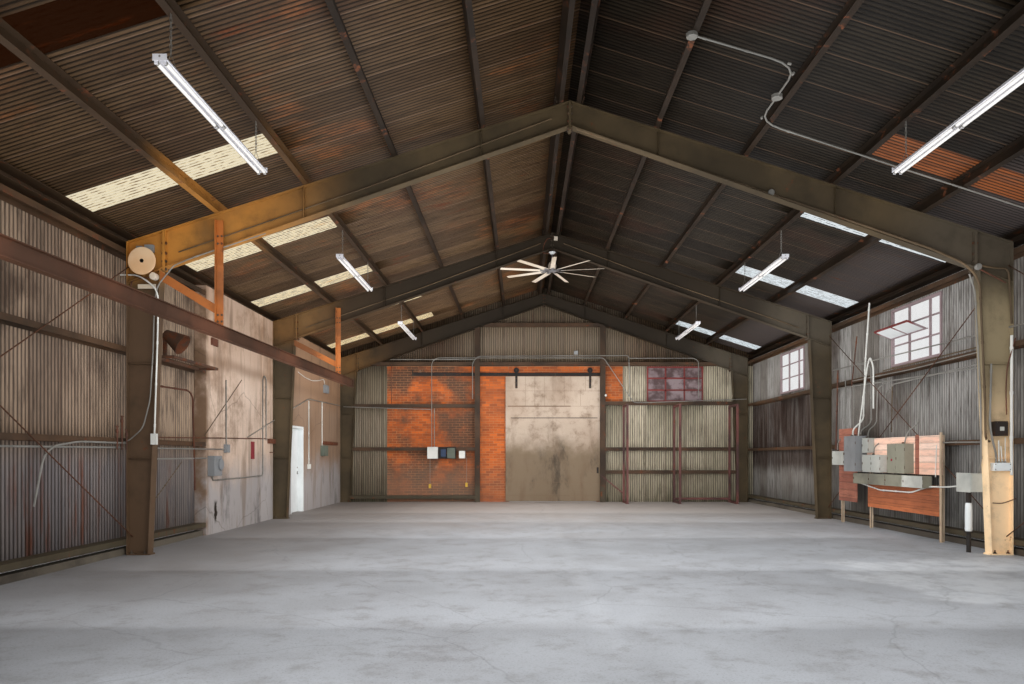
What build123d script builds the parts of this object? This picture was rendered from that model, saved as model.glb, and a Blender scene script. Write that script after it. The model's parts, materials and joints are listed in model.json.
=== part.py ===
from build123d import *
from math import atan, cos, radians, sin, tan
import os

os.makedirs("parts", exist_ok=True)

# Driving dimensions, in millimetres
# The origin is the centre of the building at ground level, +Y runs towards the rear gable.
# Sizes called "height" are measured up from the top of the floor slab.

# Overall shape
bay_length = 6096
bay_count = 3
half_width = 6096
eave_height = 4310
ridge_height = 6250
slab_thickness = 120

# Welded tapered frames
flange_width = 152
flange_thickness = 10
web_thickness = 8
column_base_depth = 297
column_knee_depth = 466
knee_height = 3940
rafter_ridge_depth = 340
splice_distance = 512
end_plate_thickness = 16
end_plate_reach = 40
ridge_plate_drop = 60
knee_stiffener_fall = 180
base_plate_thickness = 20
base_plate_margin = 25

# Purlins, girts and sheets
purlin_depth = 200
purlin_flange = 65
channel_thickness = 6
purlins_per_slope = 5
ridge_purlin_offset = 150
sheet_thickness = 18
girt_depth = 200
girt_flange = 75
eave_strut_height = 150
left_girt_heights = (1570, 2830, 4170)
right_girt_heights = (1570, 2900, 4170)
sill_girt_height = 145
sheet_end_lap = 60
eave_overhang = 80
gable_overhang = 200
ridge_cap_width = 300
ridge_cap_thickness = 4

# Translucent roof strips: place along the building in bays and upper end in half widths
skylight_width = 560
skylight_end_cover = 16
left_skylights = (
    (-1.165, 0.594),
    (-0.669, 0.594),
    (-0.157, 0.594),
    (0.346, 0.594),
    (0.902, 0.528),
    (1.330, 0.528),
)
right_skylights = ((-1.165, 0.594), (-0.253, 0.594), (0.353, 0.594), (1.373, 0.594))
skylight_gap = 0.3

# Kerbs and side windows
kerb_width = 150
kerb_height = 90
window_width = 1700
window_height = 1070
window_sill_height = 3030
window_place_in_bay = 0.476
window_frame_width = 45
window_frame_depth = 50
glass_thickness = 6
fit_gap = 0.3

# Masonry bays of the left wall, with the personnel door
masonry_thickness = 200
masonry_start = -511
man_door_start = 4317
man_door_width = 914
man_door_height = 2032
man_door_thickness = 45
man_door_recess = 120
man_door_gap = 8
door_frame_width = 50
knob_radius = 28
knob_height = 960
knob_inset = 70
knob_taper = 20
hinge_heights = (250, 1040, 1830)
hinge_knuckle = 33
hinge_radius = 7
hinge_plate_width = 40
hinge_plate_thickness = 3

# Gable ends
gable_post_size = 152
door_pocket = 70
brick_thickness = 200
top_girt_height = 4140
upper_girt_drop = 940
gable_girt_flange = 100
post_left = -2000
post_right = 1760
brick_left_inset = 1306
brick_right_edge = 2440
brick_lap = 40
low_sheet_edge = 1850
left_gable_girts = (150, 1590, 2880)
right_gable_girts = (900, 1590)
front_girts = (150, 1590, 2940)
gable_window_inset = 1296
gable_window_drop = 10

# Rear doorway and its sliding door
doorway_left = -1060
doorway_right = 1590
doorway_height = 3680
door_lap = 100
door_height = 3766
door_thickness = 44
door_floor_gap = 14
post_clearance = 12
track_height = 100
track_thickness = 12
track_above_door = 10
track_left = -3980
track_right = 1800
track_bracket_count = 5
track_bracket_width = 60
hanger_width = 70
hanger_thickness = 6
hanger_places = (-830, 1390)
hanger_lap = 360
wheel_radius = 75
wheel_width = 24

# Front doorway
front_door_half_width = 3810
front_door_height = 4200

# Overhead rail on the left and its hangers
rail_depth = 180
rail_width = 90
rail_web = 8
rail_flange = 10
rail_top_height = 3160
rail_near_offset = 4955
rail_skew = 1.37
rail_start = -9060
rail_length = 13260
rail_hanger_width = 100
rail_hanger_leg = 60
rail_hanger_thickness = 10
rail_hanger_height = 4600
rail_brace_depth = 130
rail_brace_height = 3780
rail_brace_fall = 500

# Ceiling fan
fan_blade_count = 9
fan_radius = 1140
fan_hub_radius = 95
fan_hub_thickness = 40
fan_hub_drop = 480
fan_blade_width = 100
fan_blade_thickness = 8
fan_blade_pitch = 10
fan_motor_radius = 90
fan_motor_height = 180
fan_rod_radius = 16
fan_canopy_radius = 75
fan_canopy_height = 60
fan_canopy_taper = 25
fan_first_blade = 270
fan_running_gap = 0.3

# Strip lights
light_length = 2440
light_width = 120
light_depth = 55
light_side_angle = 60
light_height = 4600
light_purlin = 3
light_inset = 33
tube_radius = 18
tube_spacing = 70
light_chain_radius = 5
light_chain_inset = 200

# Crossed bracing rods of the side walls: (side, bay)
braced_bays = ((-1, 0), (1, 0), (1, 1))
rod_radius = 8
rod_outer_inset = 26
rod_inner_inset = 50
rod_low_height = 250
rod_high_height = 4000

# Storage rack of square tube at the rear, on the right
rack_tube = 60
rack_depth = 900
rack_height = 2880
rack_frames = (2370, 3880, 5530)
rack_low_rail = 80
rack_brace_start = 840
rack_brace_end = 280
rack_brace_depth = 50
rack_brace_thickness = 10

# Electrical boards of the right wall on timber posts: ((start, low), (end, high))
board_thickness = 18
board_post_depth = 50
board_post_width = 45
board_wall_gap = 61
boards = (((-1580, 1060), (1450, 1700)), ((1450, 450), (2280, 1930)), ((-1500, 400), (970, 890)))
board_posts = ((-1520, 1700), (910, 1700), (2190, 1930))

# Switch boxes on the boards: ((start, low), (end, high), depth)
board_boxes = (
    ((1000, 1070), (1510, 1760), 230),
    ((1690, 1190), (2250, 1470), 160),
    ((110, 1070), (820, 1390), 180),
    ((-730, 1070), (-120, 1580), 160),
    ((700, 1430), (960, 1710), 120),
    ((-1290, 840), (1270, 1040), 150),
)

# Boxes on the right column of the second frame: ((inset of the inner side, low),
# (inset of the outer side, high), depth), with the insets from the column's outer face
column_web_boxes = (((266, 1640), (96, 1840), 110), ((276, 1160), (36, 1270), 90))
column_edge_box = ((496, 860), (226, 1120))
column_edge_box_length = 350

# Round lamp at the left knee of the second frame
lamp_radius = 188
lamp_rim = 30
lamp_depth = 70
lamp_stand_off = 90
lamp_stem_radius = 25
lamp_inset = 256
lamp_height = 4025

# Old horn-shaped cowl on a bracket shelf of the left wall
shelf_start = -2450
shelf_end = -850
shelf_depth = 350
shelf_angle = 40
shelf_height = 2800
cowl_place = -2050
cowl_height = 3220
cowl_small_radius = 70
cowl_mouth_radius = 165
cowl_length = 320
cowl_tilt = 33
cowl_wall = 6
cowl_inset = 30
cowl_stand_width = 50

# Flashing over the brickwork
coping_rise = 60

# Values worked out from the driving dimensions
building_length = bay_length * bay_count
frame_lines = [bay_length * number - building_length / 2 for number in range(bay_count + 1)]
bay_starts = frame_lines[:-1]
roof_slope = (ridge_height - eave_height) / half_width
roof_angle = atan(roof_slope)
knee_inner = half_width - column_knee_depth
base_inner = half_width - column_base_depth
splice = half_width - splice_distance
ridge_bottom = ridge_height - rafter_ridge_depth
wall_line = half_width + girt_depth
wall_outside = wall_line + sheet_thickness
gable_line = building_length / 2 + gable_post_size / 2 + door_pocket
gable_sheet_line = gable_line - sheet_thickness
purlin_spacing = half_width / purlins_per_slope
flange_rise = flange_thickness / cos(roof_angle)
skylight_lower_end = wall_line - skylight_end_cover
light_offset = light_purlin * purlin_spacing - light_inset
fan_hub_height = ridge_bottom - fan_hub_drop
lamp_offset = half_width - lamp_inset
upper_girt_height = ridge_height - upper_girt_drop
rear_sheet_top = top_girt_height - gable_girt_flange / 2
brick_height = rear_sheet_top + brick_lap
brick_left_edge = brick_left_inset - half_width
gable_window_right = half_width - gable_window_inset
gable_window_left = gable_window_right - window_width
gable_window_top = rear_sheet_top - gable_window_drop
gable_window_sill = gable_window_top - window_height


def roof_line(x):
    """Height of the rafters' top at a distance x from the centre."""
    return ridge_height - roof_slope * x


def rafter_bottom(x):
    """Height of the rafters' underside at a distance x from the centre."""
    return ridge_bottom - (ridge_bottom - knee_height) * x / knee_inner


def sheet_underside(x):
    """Height of the roof sheets' underside at a distance x from the centre."""
    return roof_line(x) + purlin_depth / cos(roof_angle)


def cross_plane(side, y):
    """Upright plane across the building: x runs outward from the centre, y runs up."""
    return Plane(origin=(0, y, slab_thickness), x_dir=(side, 0, 0), z_dir=(0, -side, 0))


def roof_plane(side, x):
    """Plane across a slope with its origin on the rafters' top: x runs down the slope."""
    down_slope = (side * cos(roof_angle), 0, -sin(roof_angle))
    origin = (side * x, 0, slab_thickness + roof_line(x))
    return Plane(origin=origin, x_dir=down_slope, z_dir=(0, -side, 0))


def side_wall_plane(side, x):
    """Plane along a side wall at a distance x from the centre: x runs to the rear, y up."""
    return Plane(origin=(side * x, 0, slab_thickness), x_dir=(0, 1, 0), z_dir=(1, 0, 0))


def gable_plane(y):
    """Plane along a gable: x runs to the right, y runs up, and its normal faces the front."""
    return Plane(origin=(0, y, slab_thickness), x_dir=(1, 0, 0), z_dir=(0, -1, 0))


def rectangle_between(low, high, mode=Mode.ADD):
    """Rectangle from its low corner to its high corner."""
    with Locations(((low[0] + high[0]) / 2, (low[1] + high[1]) / 2)):
        Rectangle(high[0] - low[0], high[1] - low[1], mode=mode)


def plate_section(start, end, across):
    """Section of a plate whose face runs from start to end, with its ends cut along across."""
    far_end = (end[0] + across[0], end[1] + across[1])
    far_start = (start[0] + across[0], start[1] + across[1])
    Polygon(start, end, far_end, far_start, align=None)


def channel_section(depth, flange, towards):
    """C section that stands on the origin, with its flanges towards +x (1) or -x (-1)."""
    outline = [
        (0, 0),
        (flange, 0),
        (flange, channel_thickness),
        (channel_thickness, channel_thickness),
        (channel_thickness, depth - channel_thickness),
        (flange, depth - channel_thickness),
        (flange, depth),
        (0, depth),
    ]
    Polygon(*[(towards * x, y) for x, y in outline], align=None)


def girt_section(low, high, top, flange):
    """Channel laid flat from x = low to x = high with its web on top and flanges down."""
    rectangle_between((low, top - flange), (high, top))
    rectangle_between(
        (low + channel_thickness, top - flange),
        (high - channel_thickness, top - channel_thickness),
        mode=Mode.SUBTRACT,
    )


def save(piece, label):
    """Labels a finished piece and writes its STEP file."""
    piece.part.label = label
    export_step(piece.part, "parts/" + label + ".step")


# Floor slab and kerbs
with BuildPart() as floor_slab:
    with BuildSketch(Plane.XY):
        Rectangle(2 * wall_outside, 2 * gable_line)
        rectangle_between((doorway_left, gable_line), (doorway_right, gable_line + brick_thickness))
    extrude(amount=slab_thickness)
save(floor_slab, "floor_slab")

with BuildPart() as kerbs:
    with BuildSketch(Plane.XY.offset(slab_thickness)):
        rectangle_between((-wall_line, -gable_sheet_line), (kerb_width - wall_line, masonry_start))
        rectangle_between((wall_line - kerb_width, -gable_sheet_line), (wall_line, gable_sheet_line))
    extrude(amount=kerb_height)
save(kerbs, "kerbs")


# Tapered welded frames
def build_columns(side):
    """Columns of one side: tapered I sections with a knee that reaches to the rafter splice."""
    splice_top = (splice, roof_line(splice))
    splice_bottom = (splice, rafter_bottom(splice))
    plate_bottom = (splice, rafter_bottom(splice) - end_plate_reach)
    knee = (knee_inner, knee_height)
    stiffener_end = (half_width - flange_thickness, knee_height - knee_stiffener_fall)
    with BuildPart() as columns:
        for y in frame_lines:
            with BuildSketch(cross_plane(side, y)):
                Polygon(
                    (base_inner, 0),
                    (half_width, 0),
                    (half_width, eave_height),
                    splice_top,
                    splice_bottom,
                    knee,
                    align=None,
                )
            extrude(amount=web_thickness / 2, both=True)
            with BuildSketch(cross_plane(side, y)):
                plate_section((half_width, 0), (half_width, eave_height), (-flange_thickness, 0))
                plate_section((half_width, eave_height), splice_top, (0, -flange_rise))
                plate_section(splice_top, plate_bottom, (end_plate_thickness, 0))
                Polygon(
                    splice_bottom,
                    knee,
                    (base_inner, 0),
                    (base_inner + flange_thickness, 0),
                    (knee_inner + flange_thickness, knee_height + flange_rise),
                    (splice, rafter_bottom(splice) + flange_rise),
                    align=None,
                )
                plate_section(knee, stiffener_end, (0, -flange_thickness))
                rectangle_between(
                    (base_inner - base_plate_margin, 0),
                    (half_width, base_plate_thickness),
                )
            extrude(amount=flange_width / 2, both=True)
    return columns


def build_rafters(side):
    """Rafters of one side: tapered I sections between the knee splice and the ridge splice."""
    bottom_left = (0, ridge_bottom)
    bottom_right = (splice, rafter_bottom(splice))
    top_right = (splice, roof_line(splice))
    top_left = (0, ridge_height)
    with BuildPart() as rafters:
        for y in frame_lines:
            with BuildSketch(cross_plane(side, y)):
                Polygon(bottom_left, bottom_right, top_right, top_left, align=None)
            extrude(amount=web_thickness / 2, both=True)
            with BuildSketch(cross_plane(side, y)):
                plate_section(bottom_left, bottom_right, (0, flange_rise))
                plate_section(top_right, top_left, (0, -flange_rise))
                rectangle_between(
                    (splice - end_plate_thickness, rafter_bottom(splice) - end_plate_reach),
                    (splice, roof_line(splice)),
                )
                rectangle_between(
                    (0, ridge_bottom - ridge_plate_drop),
                    (end_plate_thickness, ridge_height - flange_thickness),
                )
            extrude(amount=flange_width / 2, both=True)
    return rafters


# Purlins of one slope, with the eave strut that closes the wall to the roof
def build_purlins(side):
    purlin_lines = [ridge_purlin_offset]
    purlin_lines += [purlin_spacing * number for number in range(1, purlins_per_slope)]
    strut_top = sheet_underside(wall_line)
    with BuildPart() as purlins:
        for x in purlin_lines:
            with BuildSketch(roof_plane(side, x)):
                channel_section(purlin_depth, purlin_flange, towards=-1)
            extrude(amount=gable_sheet_line, both=True)
        with BuildSketch(cross_plane(side, 0)):
            with Locations((wall_line, strut_top - eave_strut_height)):
                channel_section(eave_strut_height, girt_depth, towards=-1)
        extrude(amount=gable_sheet_line, both=True)
    return purlins


# Wall girts of one side, laid flat outside the columns
def build_girts(side, heights, rear_end):
    tops = [sill_girt_height + girt_flange] + [height + girt_flange / 2 for height in heights]
    middle = (rear_end - gable_sheet_line) / 2
    with BuildPart() as girts:
        for top in tops:
            with BuildSketch(cross_plane(side, middle)):
                girt_section(half_width, wall_line, top, girt_flange)
            extrude(amount=(rear_end + gable_sheet_line) / 2, both=True)
    return girts


# Side windows stand at the same place in every bay that has one
left_windows = [bay_starts[0] + window_place_in_bay * bay_length]
right_windows = [y + window_place_in_bay * bay_length for y in bay_starts]


def window_opening(middle, mode):
    """Opening of a side window on a side wall plane."""
    rectangle_between(
        (middle - window_width / 2, window_sill_height),
        (middle + window_width / 2, window_sill_height + window_height),
        mode,
    )


def build_wall_sheets(side, rear_end, windows):
    """Wall sheets of one side, from the kerb to the roof, with the windows cut through."""
    with BuildPart() as sheets:
        with BuildSketch(side_wall_plane(side, wall_line)):
            rectangle_between((-gable_line, kerb_height), (rear_end, sheet_underside(wall_outside)))
            for middle in windows:
                window_opening(middle, Mode.SUBTRACT)
        extrude(amount=side * sheet_thickness)
    return sheets


# Roof sheets, with openings for the translucent strips
def roof_sheet_outline():
    edge = wall_outside + eave_overhang
    rise = sheet_thickness / cos(roof_angle)
    Polygon(
        (0, sheet_underside(0)),
        (edge, sheet_underside(edge)),
        (edge, sheet_underside(edge) + rise),
        (0, sheet_underside(0) + rise),
        align=None,
    )


def skylight_rectangles(side, strips, gap):
    for place, upper_end in strips:
        y = place * bay_length
        ends = sorted((side * (upper_end * half_width + gap), side * (skylight_lower_end - gap)))
        half = skylight_width / 2 - gap
        rectangle_between((ends[0], y - half), (ends[1], y + half))


def build_roof_sheets(side, strips):
    with BuildPart() as sheets:
        with BuildSketch(cross_plane(side, 0)):
            roof_sheet_outline()
        extrude(amount=gable_line + gable_overhang, both=True)
        with BuildSketch(Plane.XY):
            skylight_rectangles(side, strips, 0)
        extrude(amount=2 * ridge_height, mode=Mode.SUBTRACT)
    return sheets


def build_skylights(side, strips):
    with BuildPart() as skylights:
        with BuildSketch(cross_plane(side, 0)):
            roof_sheet_outline()
        extrude(amount=gable_line, both=True)
        with BuildSketch(Plane.XY):
            skylight_rectangles(side, strips, skylight_gap)
        extrude(amount=2 * ridge_height, mode=Mode.INTERSECT)
    return skylights


sides = {"left": -1, "right": 1}
girt_heights = {"left": left_girt_heights, "right": right_girt_heights}
sheet_ends = {"left": masonry_start + sheet_end_lap, "right": gable_line}
girt_ends = {"left": masonry_start, "right": gable_sheet_line}
side_windows = {"left": left_windows, "right": right_windows}
roof_strips = {"left": left_skylights, "right": right_skylights}
for name, side in sides.items():
    save(build_columns(side), name + "_columns")
    save(build_rafters(side), name + "_rafters")
    save(build_purlins(side), name + "_purlins")
    save(build_girts(side, girt_heights[name], girt_ends[name]), name + "_girts")
    save(build_wall_sheets(side, sheet_ends[name], side_windows[name]), name + "_wall_sheets")
    save(build_roof_sheets(side, roof_strips[name]), name + "_roof_sheets")
    save(build_skylights(side, roof_strips[name]), name + "_skylights")

with BuildPart() as ridge_cap:
    cap_low = sheet_underside(0) + sheet_thickness / cos(roof_angle)
    cap_high = cap_low + ridge_cap_thickness / cos(roof_angle)
    cap_fall = ridge_cap_width * roof_slope
    with BuildSketch(cross_plane(1, 0)):
        Polygon(
            (0, cap_low),
            (ridge_cap_width, cap_low - cap_fall),
            (ridge_cap_width, cap_high - cap_fall),
            (0, cap_high),
            (-ridge_cap_width, cap_high - cap_fall),
            (-ridge_cap_width, cap_low - cap_fall),
            align=None,
        )
    extrude(amount=gable_line + gable_overhang, both=True)
save(ridge_cap, "ridge_cap")

# Masonry bays of the left wall: split beside and over the personnel doorway
masonry_top = sheet_underside(wall_line) - eave_strut_height
doorway_start = man_door_start - man_door_gap - door_frame_width
doorway_end = man_door_start + man_door_width + man_door_gap + door_frame_width
doorway_top = man_door_gap + man_door_height + man_door_gap + door_frame_width
masonry_pieces = {
    "left_masonry_front": ((masonry_start, 0), (doorway_start, masonry_top)),
    "left_masonry_rear": ((doorway_end, 0), (gable_sheet_line, masonry_top)),
    "left_masonry_lintel": ((doorway_start, doorway_top), (doorway_end, masonry_top)),
}
for name, corners in masonry_pieces.items():
    with BuildPart() as masonry:
        with BuildSketch(side_wall_plane(-1, wall_line)):
            rectangle_between(*corners)
        extrude(amount=masonry_thickness)
    save(masonry, name)

# Butt hinges of three knuckles, the middle one on the leaf
leaf_face = half_width + man_door_recess
leaf_end = man_door_start + man_door_width
jamb_face = man_door_start - man_door_gap
hinge_x = hinge_radius + fit_gap - leaf_face
hinge_y = hinge_radius + fit_gap + jamb_face


def hinge_plane(height, knuckle):
    """Level plane at the foot of one of the knuckles of the hinge at a height."""
    return Plane.XY.offset(slab_thickness + height + knuckle * hinge_knuckle)


def hinge_section(plate_low, plate_high):
    """Section of a knuckle and of the plate that carries it, seen from above."""
    with Locations((hinge_x, hinge_y)):
        Circle(hinge_radius)
    rectangle_between(plate_low, plate_high)


with BuildPart() as man_door_frame:
    with BuildSketch(side_wall_plane(-1, wall_line)):
        rectangle_between((doorway_start, 0), (doorway_end, doorway_top))
        rectangle_between(
            (doorway_start + door_frame_width, 0),
            (doorway_end - door_frame_width, doorway_top - door_frame_width),
            mode=Mode.SUBTRACT,
        )
    extrude(amount=masonry_thickness)
    for height in hinge_heights:
        for knuckle in (0, 2):
            with BuildSketch(hinge_plane(height, knuckle)):
                hinge_section(
                    (hinge_x, jamb_face),
                    (hinge_x + hinge_plate_width, jamb_face + hinge_plate_thickness),
                )
            extrude(amount=hinge_knuckle - fit_gap)
save(man_door_frame, "man_door_frame")

with BuildPart() as man_door:
    with BuildSketch(side_wall_plane(-1, leaf_face)):
        rectangle_between((man_door_start, man_door_gap), (leaf_end, man_door_gap + man_door_height))
    extrude(amount=-man_door_thickness)
    for height in hinge_heights:
        with BuildSketch(hinge_plane(height, 1)):
            hinge_section(
                (-leaf_face, hinge_y),
                (hinge_plate_thickness - leaf_face, hinge_y + hinge_plate_width),
            )
        extrude(amount=hinge_knuckle - fit_gap)
    knob_centre = (leaf_end - knob_inset, knob_height)
    with BuildSketch(side_wall_plane(-1, leaf_face)):
        with Locations(knob_centre):
            Circle(knob_radius / 2)
    extrude(amount=knob_radius)
    with BuildSketch(side_wall_plane(-1, leaf_face - knob_radius)):
        with Locations(knob_centre):
            Circle(knob_radius)
    extrude(amount=knob_radius, taper=knob_taper)
save(man_door, "man_door")

# Gable framing, in the plane of the end frames
front_line = -building_length / 2
rear_line = building_length / 2
post_half = gable_post_size / 2
girt_half = gable_girt_flange / 2
full_reach = gable_sheet_line - rear_line + post_half


def post_section(x, y):
    """I section of a gable post, seen from above."""
    rectangle_between((x - post_half, y - post_half), (x + post_half, y - post_half + flange_thickness))
    rectangle_between((x - post_half, y + post_half - flange_thickness), (x + post_half, y + post_half))
    rectangle_between((x - web_thickness / 2, y - post_half), (x + web_thickness / 2, y + post_half))


def under_rafters():
    """Area of a gable below the undersides of the rafters."""
    Polygon(
        (-half_width, -slab_thickness),
        (half_width, -slab_thickness),
        (half_width, rafter_bottom(half_width)),
        (0, ridge_bottom),
        (-half_width, rafter_bottom(half_width)),
        align=None,
    )


def build_gable_framing(facing, posts, girts):
    """Posts and girts of a part of a gable; each girt is (left, right, centre height, depth).

    Facing is 1 for the rear gable and -1 for the front one. The girts are channels laid flat
    with their webs on top, and they end under the rafters.
    """
    line = facing * rear_line
    inside = line - facing * post_half
    with BuildPart() as framing:
        for left, right, height, depth in girts:
            with BuildSketch(gable_plane(inside)):
                rectangle_between((left, height - girt_half), (right, height + girt_half))
            extrude(amount=-facing * depth)
            web_under = height + girt_half - channel_thickness
            with BuildSketch(gable_plane(inside + facing * channel_thickness)):
                rectangle_between((left, height - girt_half), (right, web_under))
            extrude(amount=-facing * (depth - 2 * channel_thickness), mode=Mode.SUBTRACT)
        for x in posts:
            with BuildSketch(Plane.XY.offset(slab_thickness)):
                post_section(x, line)
            extrude(amount=ridge_height)
        with BuildSketch(cross_plane(1, 0)):
            under_rafters()
        extrude(amount=2 * gable_line, both=True, mode=Mode.INTERSECT)
    return framing


def column_inner(height):
    """Distance from the centre to the columns' inner face at a height."""
    return base_inner - (base_inner - knee_inner) * height / knee_height


def column_side(height):
    """Distance from the centre to the end of a gable girt at a column."""
    return column_inner(height + girt_half)


left_rows = [(-column_side(row), post_left, row, gable_post_size) for row in left_gable_girts]
left_rows.append((-splice, post_left, top_girt_height, full_reach))
save(build_gable_framing(1, [post_left], left_rows), "rear_framing_left")

window_girt = gable_window_sill - girt_half
right_rows = [
    (post_right, column_side(row), row, full_reach)
    for row in (*right_gable_girts, window_girt)
]
right_rows.append((post_right, splice, top_girt_height, full_reach))
save(build_gable_framing(1, [post_right], right_rows), "rear_framing_right")

middle_ends = (post_left + post_half, post_right - post_half)
middle_rows = [(*middle_ends, top_girt_height, full_reach), (*middle_ends, upper_girt_height, full_reach)]
save(build_gable_framing(1, [], middle_rows), "rear_framing_middle")

front_post = front_door_half_width + post_half
for name, side in sides.items():
    front_rows = []
    for row in front_girts:
        ends = sorted((side * front_post, side * column_side(row)))
        front_rows.append((*ends, row, full_reach))
    ends = sorted((side * front_post, side * splice))
    front_rows.append((*ends, top_girt_height, full_reach))
    save(build_gable_framing(-1, [side * front_post], front_rows), "front_framing_" + name)

header_middle = front_door_height + girt_half
header_row = (-front_door_half_width, front_door_half_width, header_middle, full_reach)
save(build_gable_framing(-1, [], [header_row]), "front_header")


# Gable sheets and brickwork
def gable_point(x):
    """Point of a gable's top edge, under the roof sheets."""
    return (x, sheet_underside(abs(x)))


def build_gable_top(y, low):
    """Pentagon of sheets from a height up to the roof."""
    with BuildPart() as sheets:
        with BuildSketch(gable_plane(y)):
            Polygon(
                (-wall_line, low),
                (wall_line, low),
                gable_point(wall_line),
                gable_point(0),
                gable_point(-wall_line),
                align=None,
            )
        extrude(amount=sheet_thickness)
    return sheets


save(build_gable_top(gable_line, rear_sheet_top), "rear_sheets_top")
save(build_gable_top(-gable_sheet_line, front_door_height), "front_sheets_top")

with BuildPart() as rear_sheets_left:
    with BuildSketch(gable_plane(gable_line)):
        rectangle_between((-wall_line, 0), (brick_left_edge + sheet_end_lap, rear_sheet_top))
    extrude(amount=sheet_thickness)
save(rear_sheets_left, "rear_sheets_left")

with BuildPart() as rear_sheets_right:
    with BuildSketch(gable_plane(gable_line)):
        rectangle_between((low_sheet_edge, 0), (wall_line, window_girt + girt_half))
        rectangle_between((brick_right_edge - sheet_end_lap, 0), (wall_line, rear_sheet_top))
        rectangle_between(
            (gable_window_left, gable_window_sill),
            (gable_window_right, gable_window_top),
            mode=Mode.SUBTRACT,
        )
    extrude(amount=sheet_thickness)
save(rear_sheets_right, "rear_sheets_right")

for name, side in sides.items():
    ends = sorted((side * front_door_half_width, side * wall_line))
    with BuildPart() as front_sheets:
        with BuildSketch(gable_plane(-gable_sheet_line)):
            rectangle_between((ends[0], 0), (ends[1], front_door_height))
        extrude(amount=sheet_thickness)
    save(front_sheets, "front_sheets_" + name)

brick_pieces = {
    "brick_wall_left": ((brick_left_edge, -slab_thickness), (doorway_left, brick_height)),
    "brick_wall_right": ((doorway_right, -slab_thickness), (brick_right_edge, brick_height)),
    "brick_lintel": ((doorway_left, doorway_height), (doorway_right, brick_height)),
}
for name, corners in brick_pieces.items():
    with BuildPart() as brickwork:
        with BuildSketch(gable_plane(gable_line)):
            rectangle_between(*corners)
        extrude(amount=-brick_thickness)
    save(brickwork, name)

# Sliding door: leaf, hanger straps and wheels, which ride on a flat track
door_left = doorway_left - door_lap
door_right = doorway_right + door_lap
door_front = rear_line + post_half + post_clearance
door_top = door_floor_gap + door_height
door_middle = door_front + door_thickness / 2
track_bottom = door_top + track_above_door
wheel_centre = track_bottom + track_height + fit_gap + wheel_radius
with BuildPart() as sliding_door:
    with BuildSketch(gable_plane(door_front)):
        rectangle_between((door_left, door_floor_gap), (door_right, door_top))
    extrude(amount=-door_thickness)
    for x in hanger_places:
        with BuildSketch(gable_plane(door_front)):
            strap = hanger_width / 2
            rectangle_between((x - strap, door_top - hanger_lap), (x + strap, wheel_centre))
            with Locations((x, wheel_centre)):
                Circle(strap)
        extrude(amount=hanger_thickness)
        with BuildSketch(gable_plane(door_middle + wheel_width / 2)):
            with Locations((x, wheel_centre)):
                Circle(wheel_radius)
        extrude(amount=wheel_width)
        with BuildSketch(gable_plane(door_middle)):
            with Locations((x, wheel_centre)):
                Circle(wheel_width / 2)
        extrude(amount=door_thickness / 2 + hanger_thickness)
save(sliding_door, "sliding_door")

with BuildPart() as door_track:
    with BuildSketch(gable_plane(door_middle - track_thickness / 2)):
        rectangle_between((track_left, track_bottom), (track_right, track_bottom + track_height))
    extrude(amount=-track_thickness)
    bracket_run = track_right - track_left - track_bracket_width
    for number in range(track_bracket_count):
        left = track_left + bracket_run * number / (track_bracket_count - 1)
        with BuildSketch(gable_plane(door_middle)):
            rectangle_between(
                (left, track_bottom + track_thickness),
                (left + track_bracket_width, track_bottom + track_height - track_thickness),
            )
        extrude(amount=door_middle - gable_line)
save(door_track, "door_track")


# Steel window frames and their glass
def window_ring(low, high):
    """Outline of a window frame in its opening."""
    gap = fit_gap
    edge = window_frame_width
    rectangle_between((low[0] + gap, low[1] + gap), (high[0] - gap, high[1] - gap))
    rectangle_between((low[0] + edge, low[1] + edge), (high[0] - edge, high[1] - edge), Mode.SUBTRACT)


def window_pane(low, high):
    """Outline of the glass inside a window frame."""
    edge = window_frame_width + fit_gap
    rectangle_between((low[0] + edge, low[1] + edge), (high[0] - edge, high[1] - edge))


side_window_places = [(-1, middle) for middle in left_windows] + [(1, middle) for middle in right_windows]
window_top = window_sill_height + window_height
gable_window = ((gable_window_left, gable_window_sill), (gable_window_right, gable_window_top))
sheet_middle = wall_line + sheet_thickness / 2
gable_sheet_middle = gable_line - sheet_thickness / 2


def build_windows(outline, thickness):
    """The same outline extruded in every window, about the middle of the sheets."""
    with BuildPart() as windows:
        for side, middle in side_window_places:
            with BuildSketch(side_wall_plane(side, sheet_middle)):
                outline(
                    (middle - window_width / 2, window_sill_height),
                    (middle + window_width / 2, window_top),
                )
            extrude(amount=thickness / 2, both=True)
        with BuildSketch(gable_plane(gable_sheet_middle)):
            outline(*gable_window)
        extrude(amount=thickness / 2, both=True)
    return windows


save(build_windows(window_ring, window_frame_depth), "window_frames")
save(build_windows(window_pane, glass_thickness), "window_glass")

# Overhead rail, a little out of line with the wall, with its hangers and braces
skew = radians(rail_skew)
rail_top = slab_thickness + rail_top_height


def rail_offset(y):
    """Distance from the centre to the rail at a place along the building."""
    return rail_near_offset - (y - front_line) * tan(skew)


with BuildPart() as overhead_rail:
    rail_plane = Plane(
        origin=(-rail_offset(rail_start), rail_start, rail_top),
        x_dir=(cos(skew), -sin(skew), 0),
        z_dir=(-sin(skew), -cos(skew), 0),
    )
    with BuildSketch(rail_plane):
        half = rail_width / 2
        rectangle_between((-half, -rail_flange), (half, 0))
        rectangle_between((-half, -rail_depth), (half, rail_flange - rail_depth))
        rectangle_between((-rail_web / 2, -rail_depth), (rail_web / 2, 0))
    extrude(amount=-rail_length)
save(overhead_rail, "overhead_rail")

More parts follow.
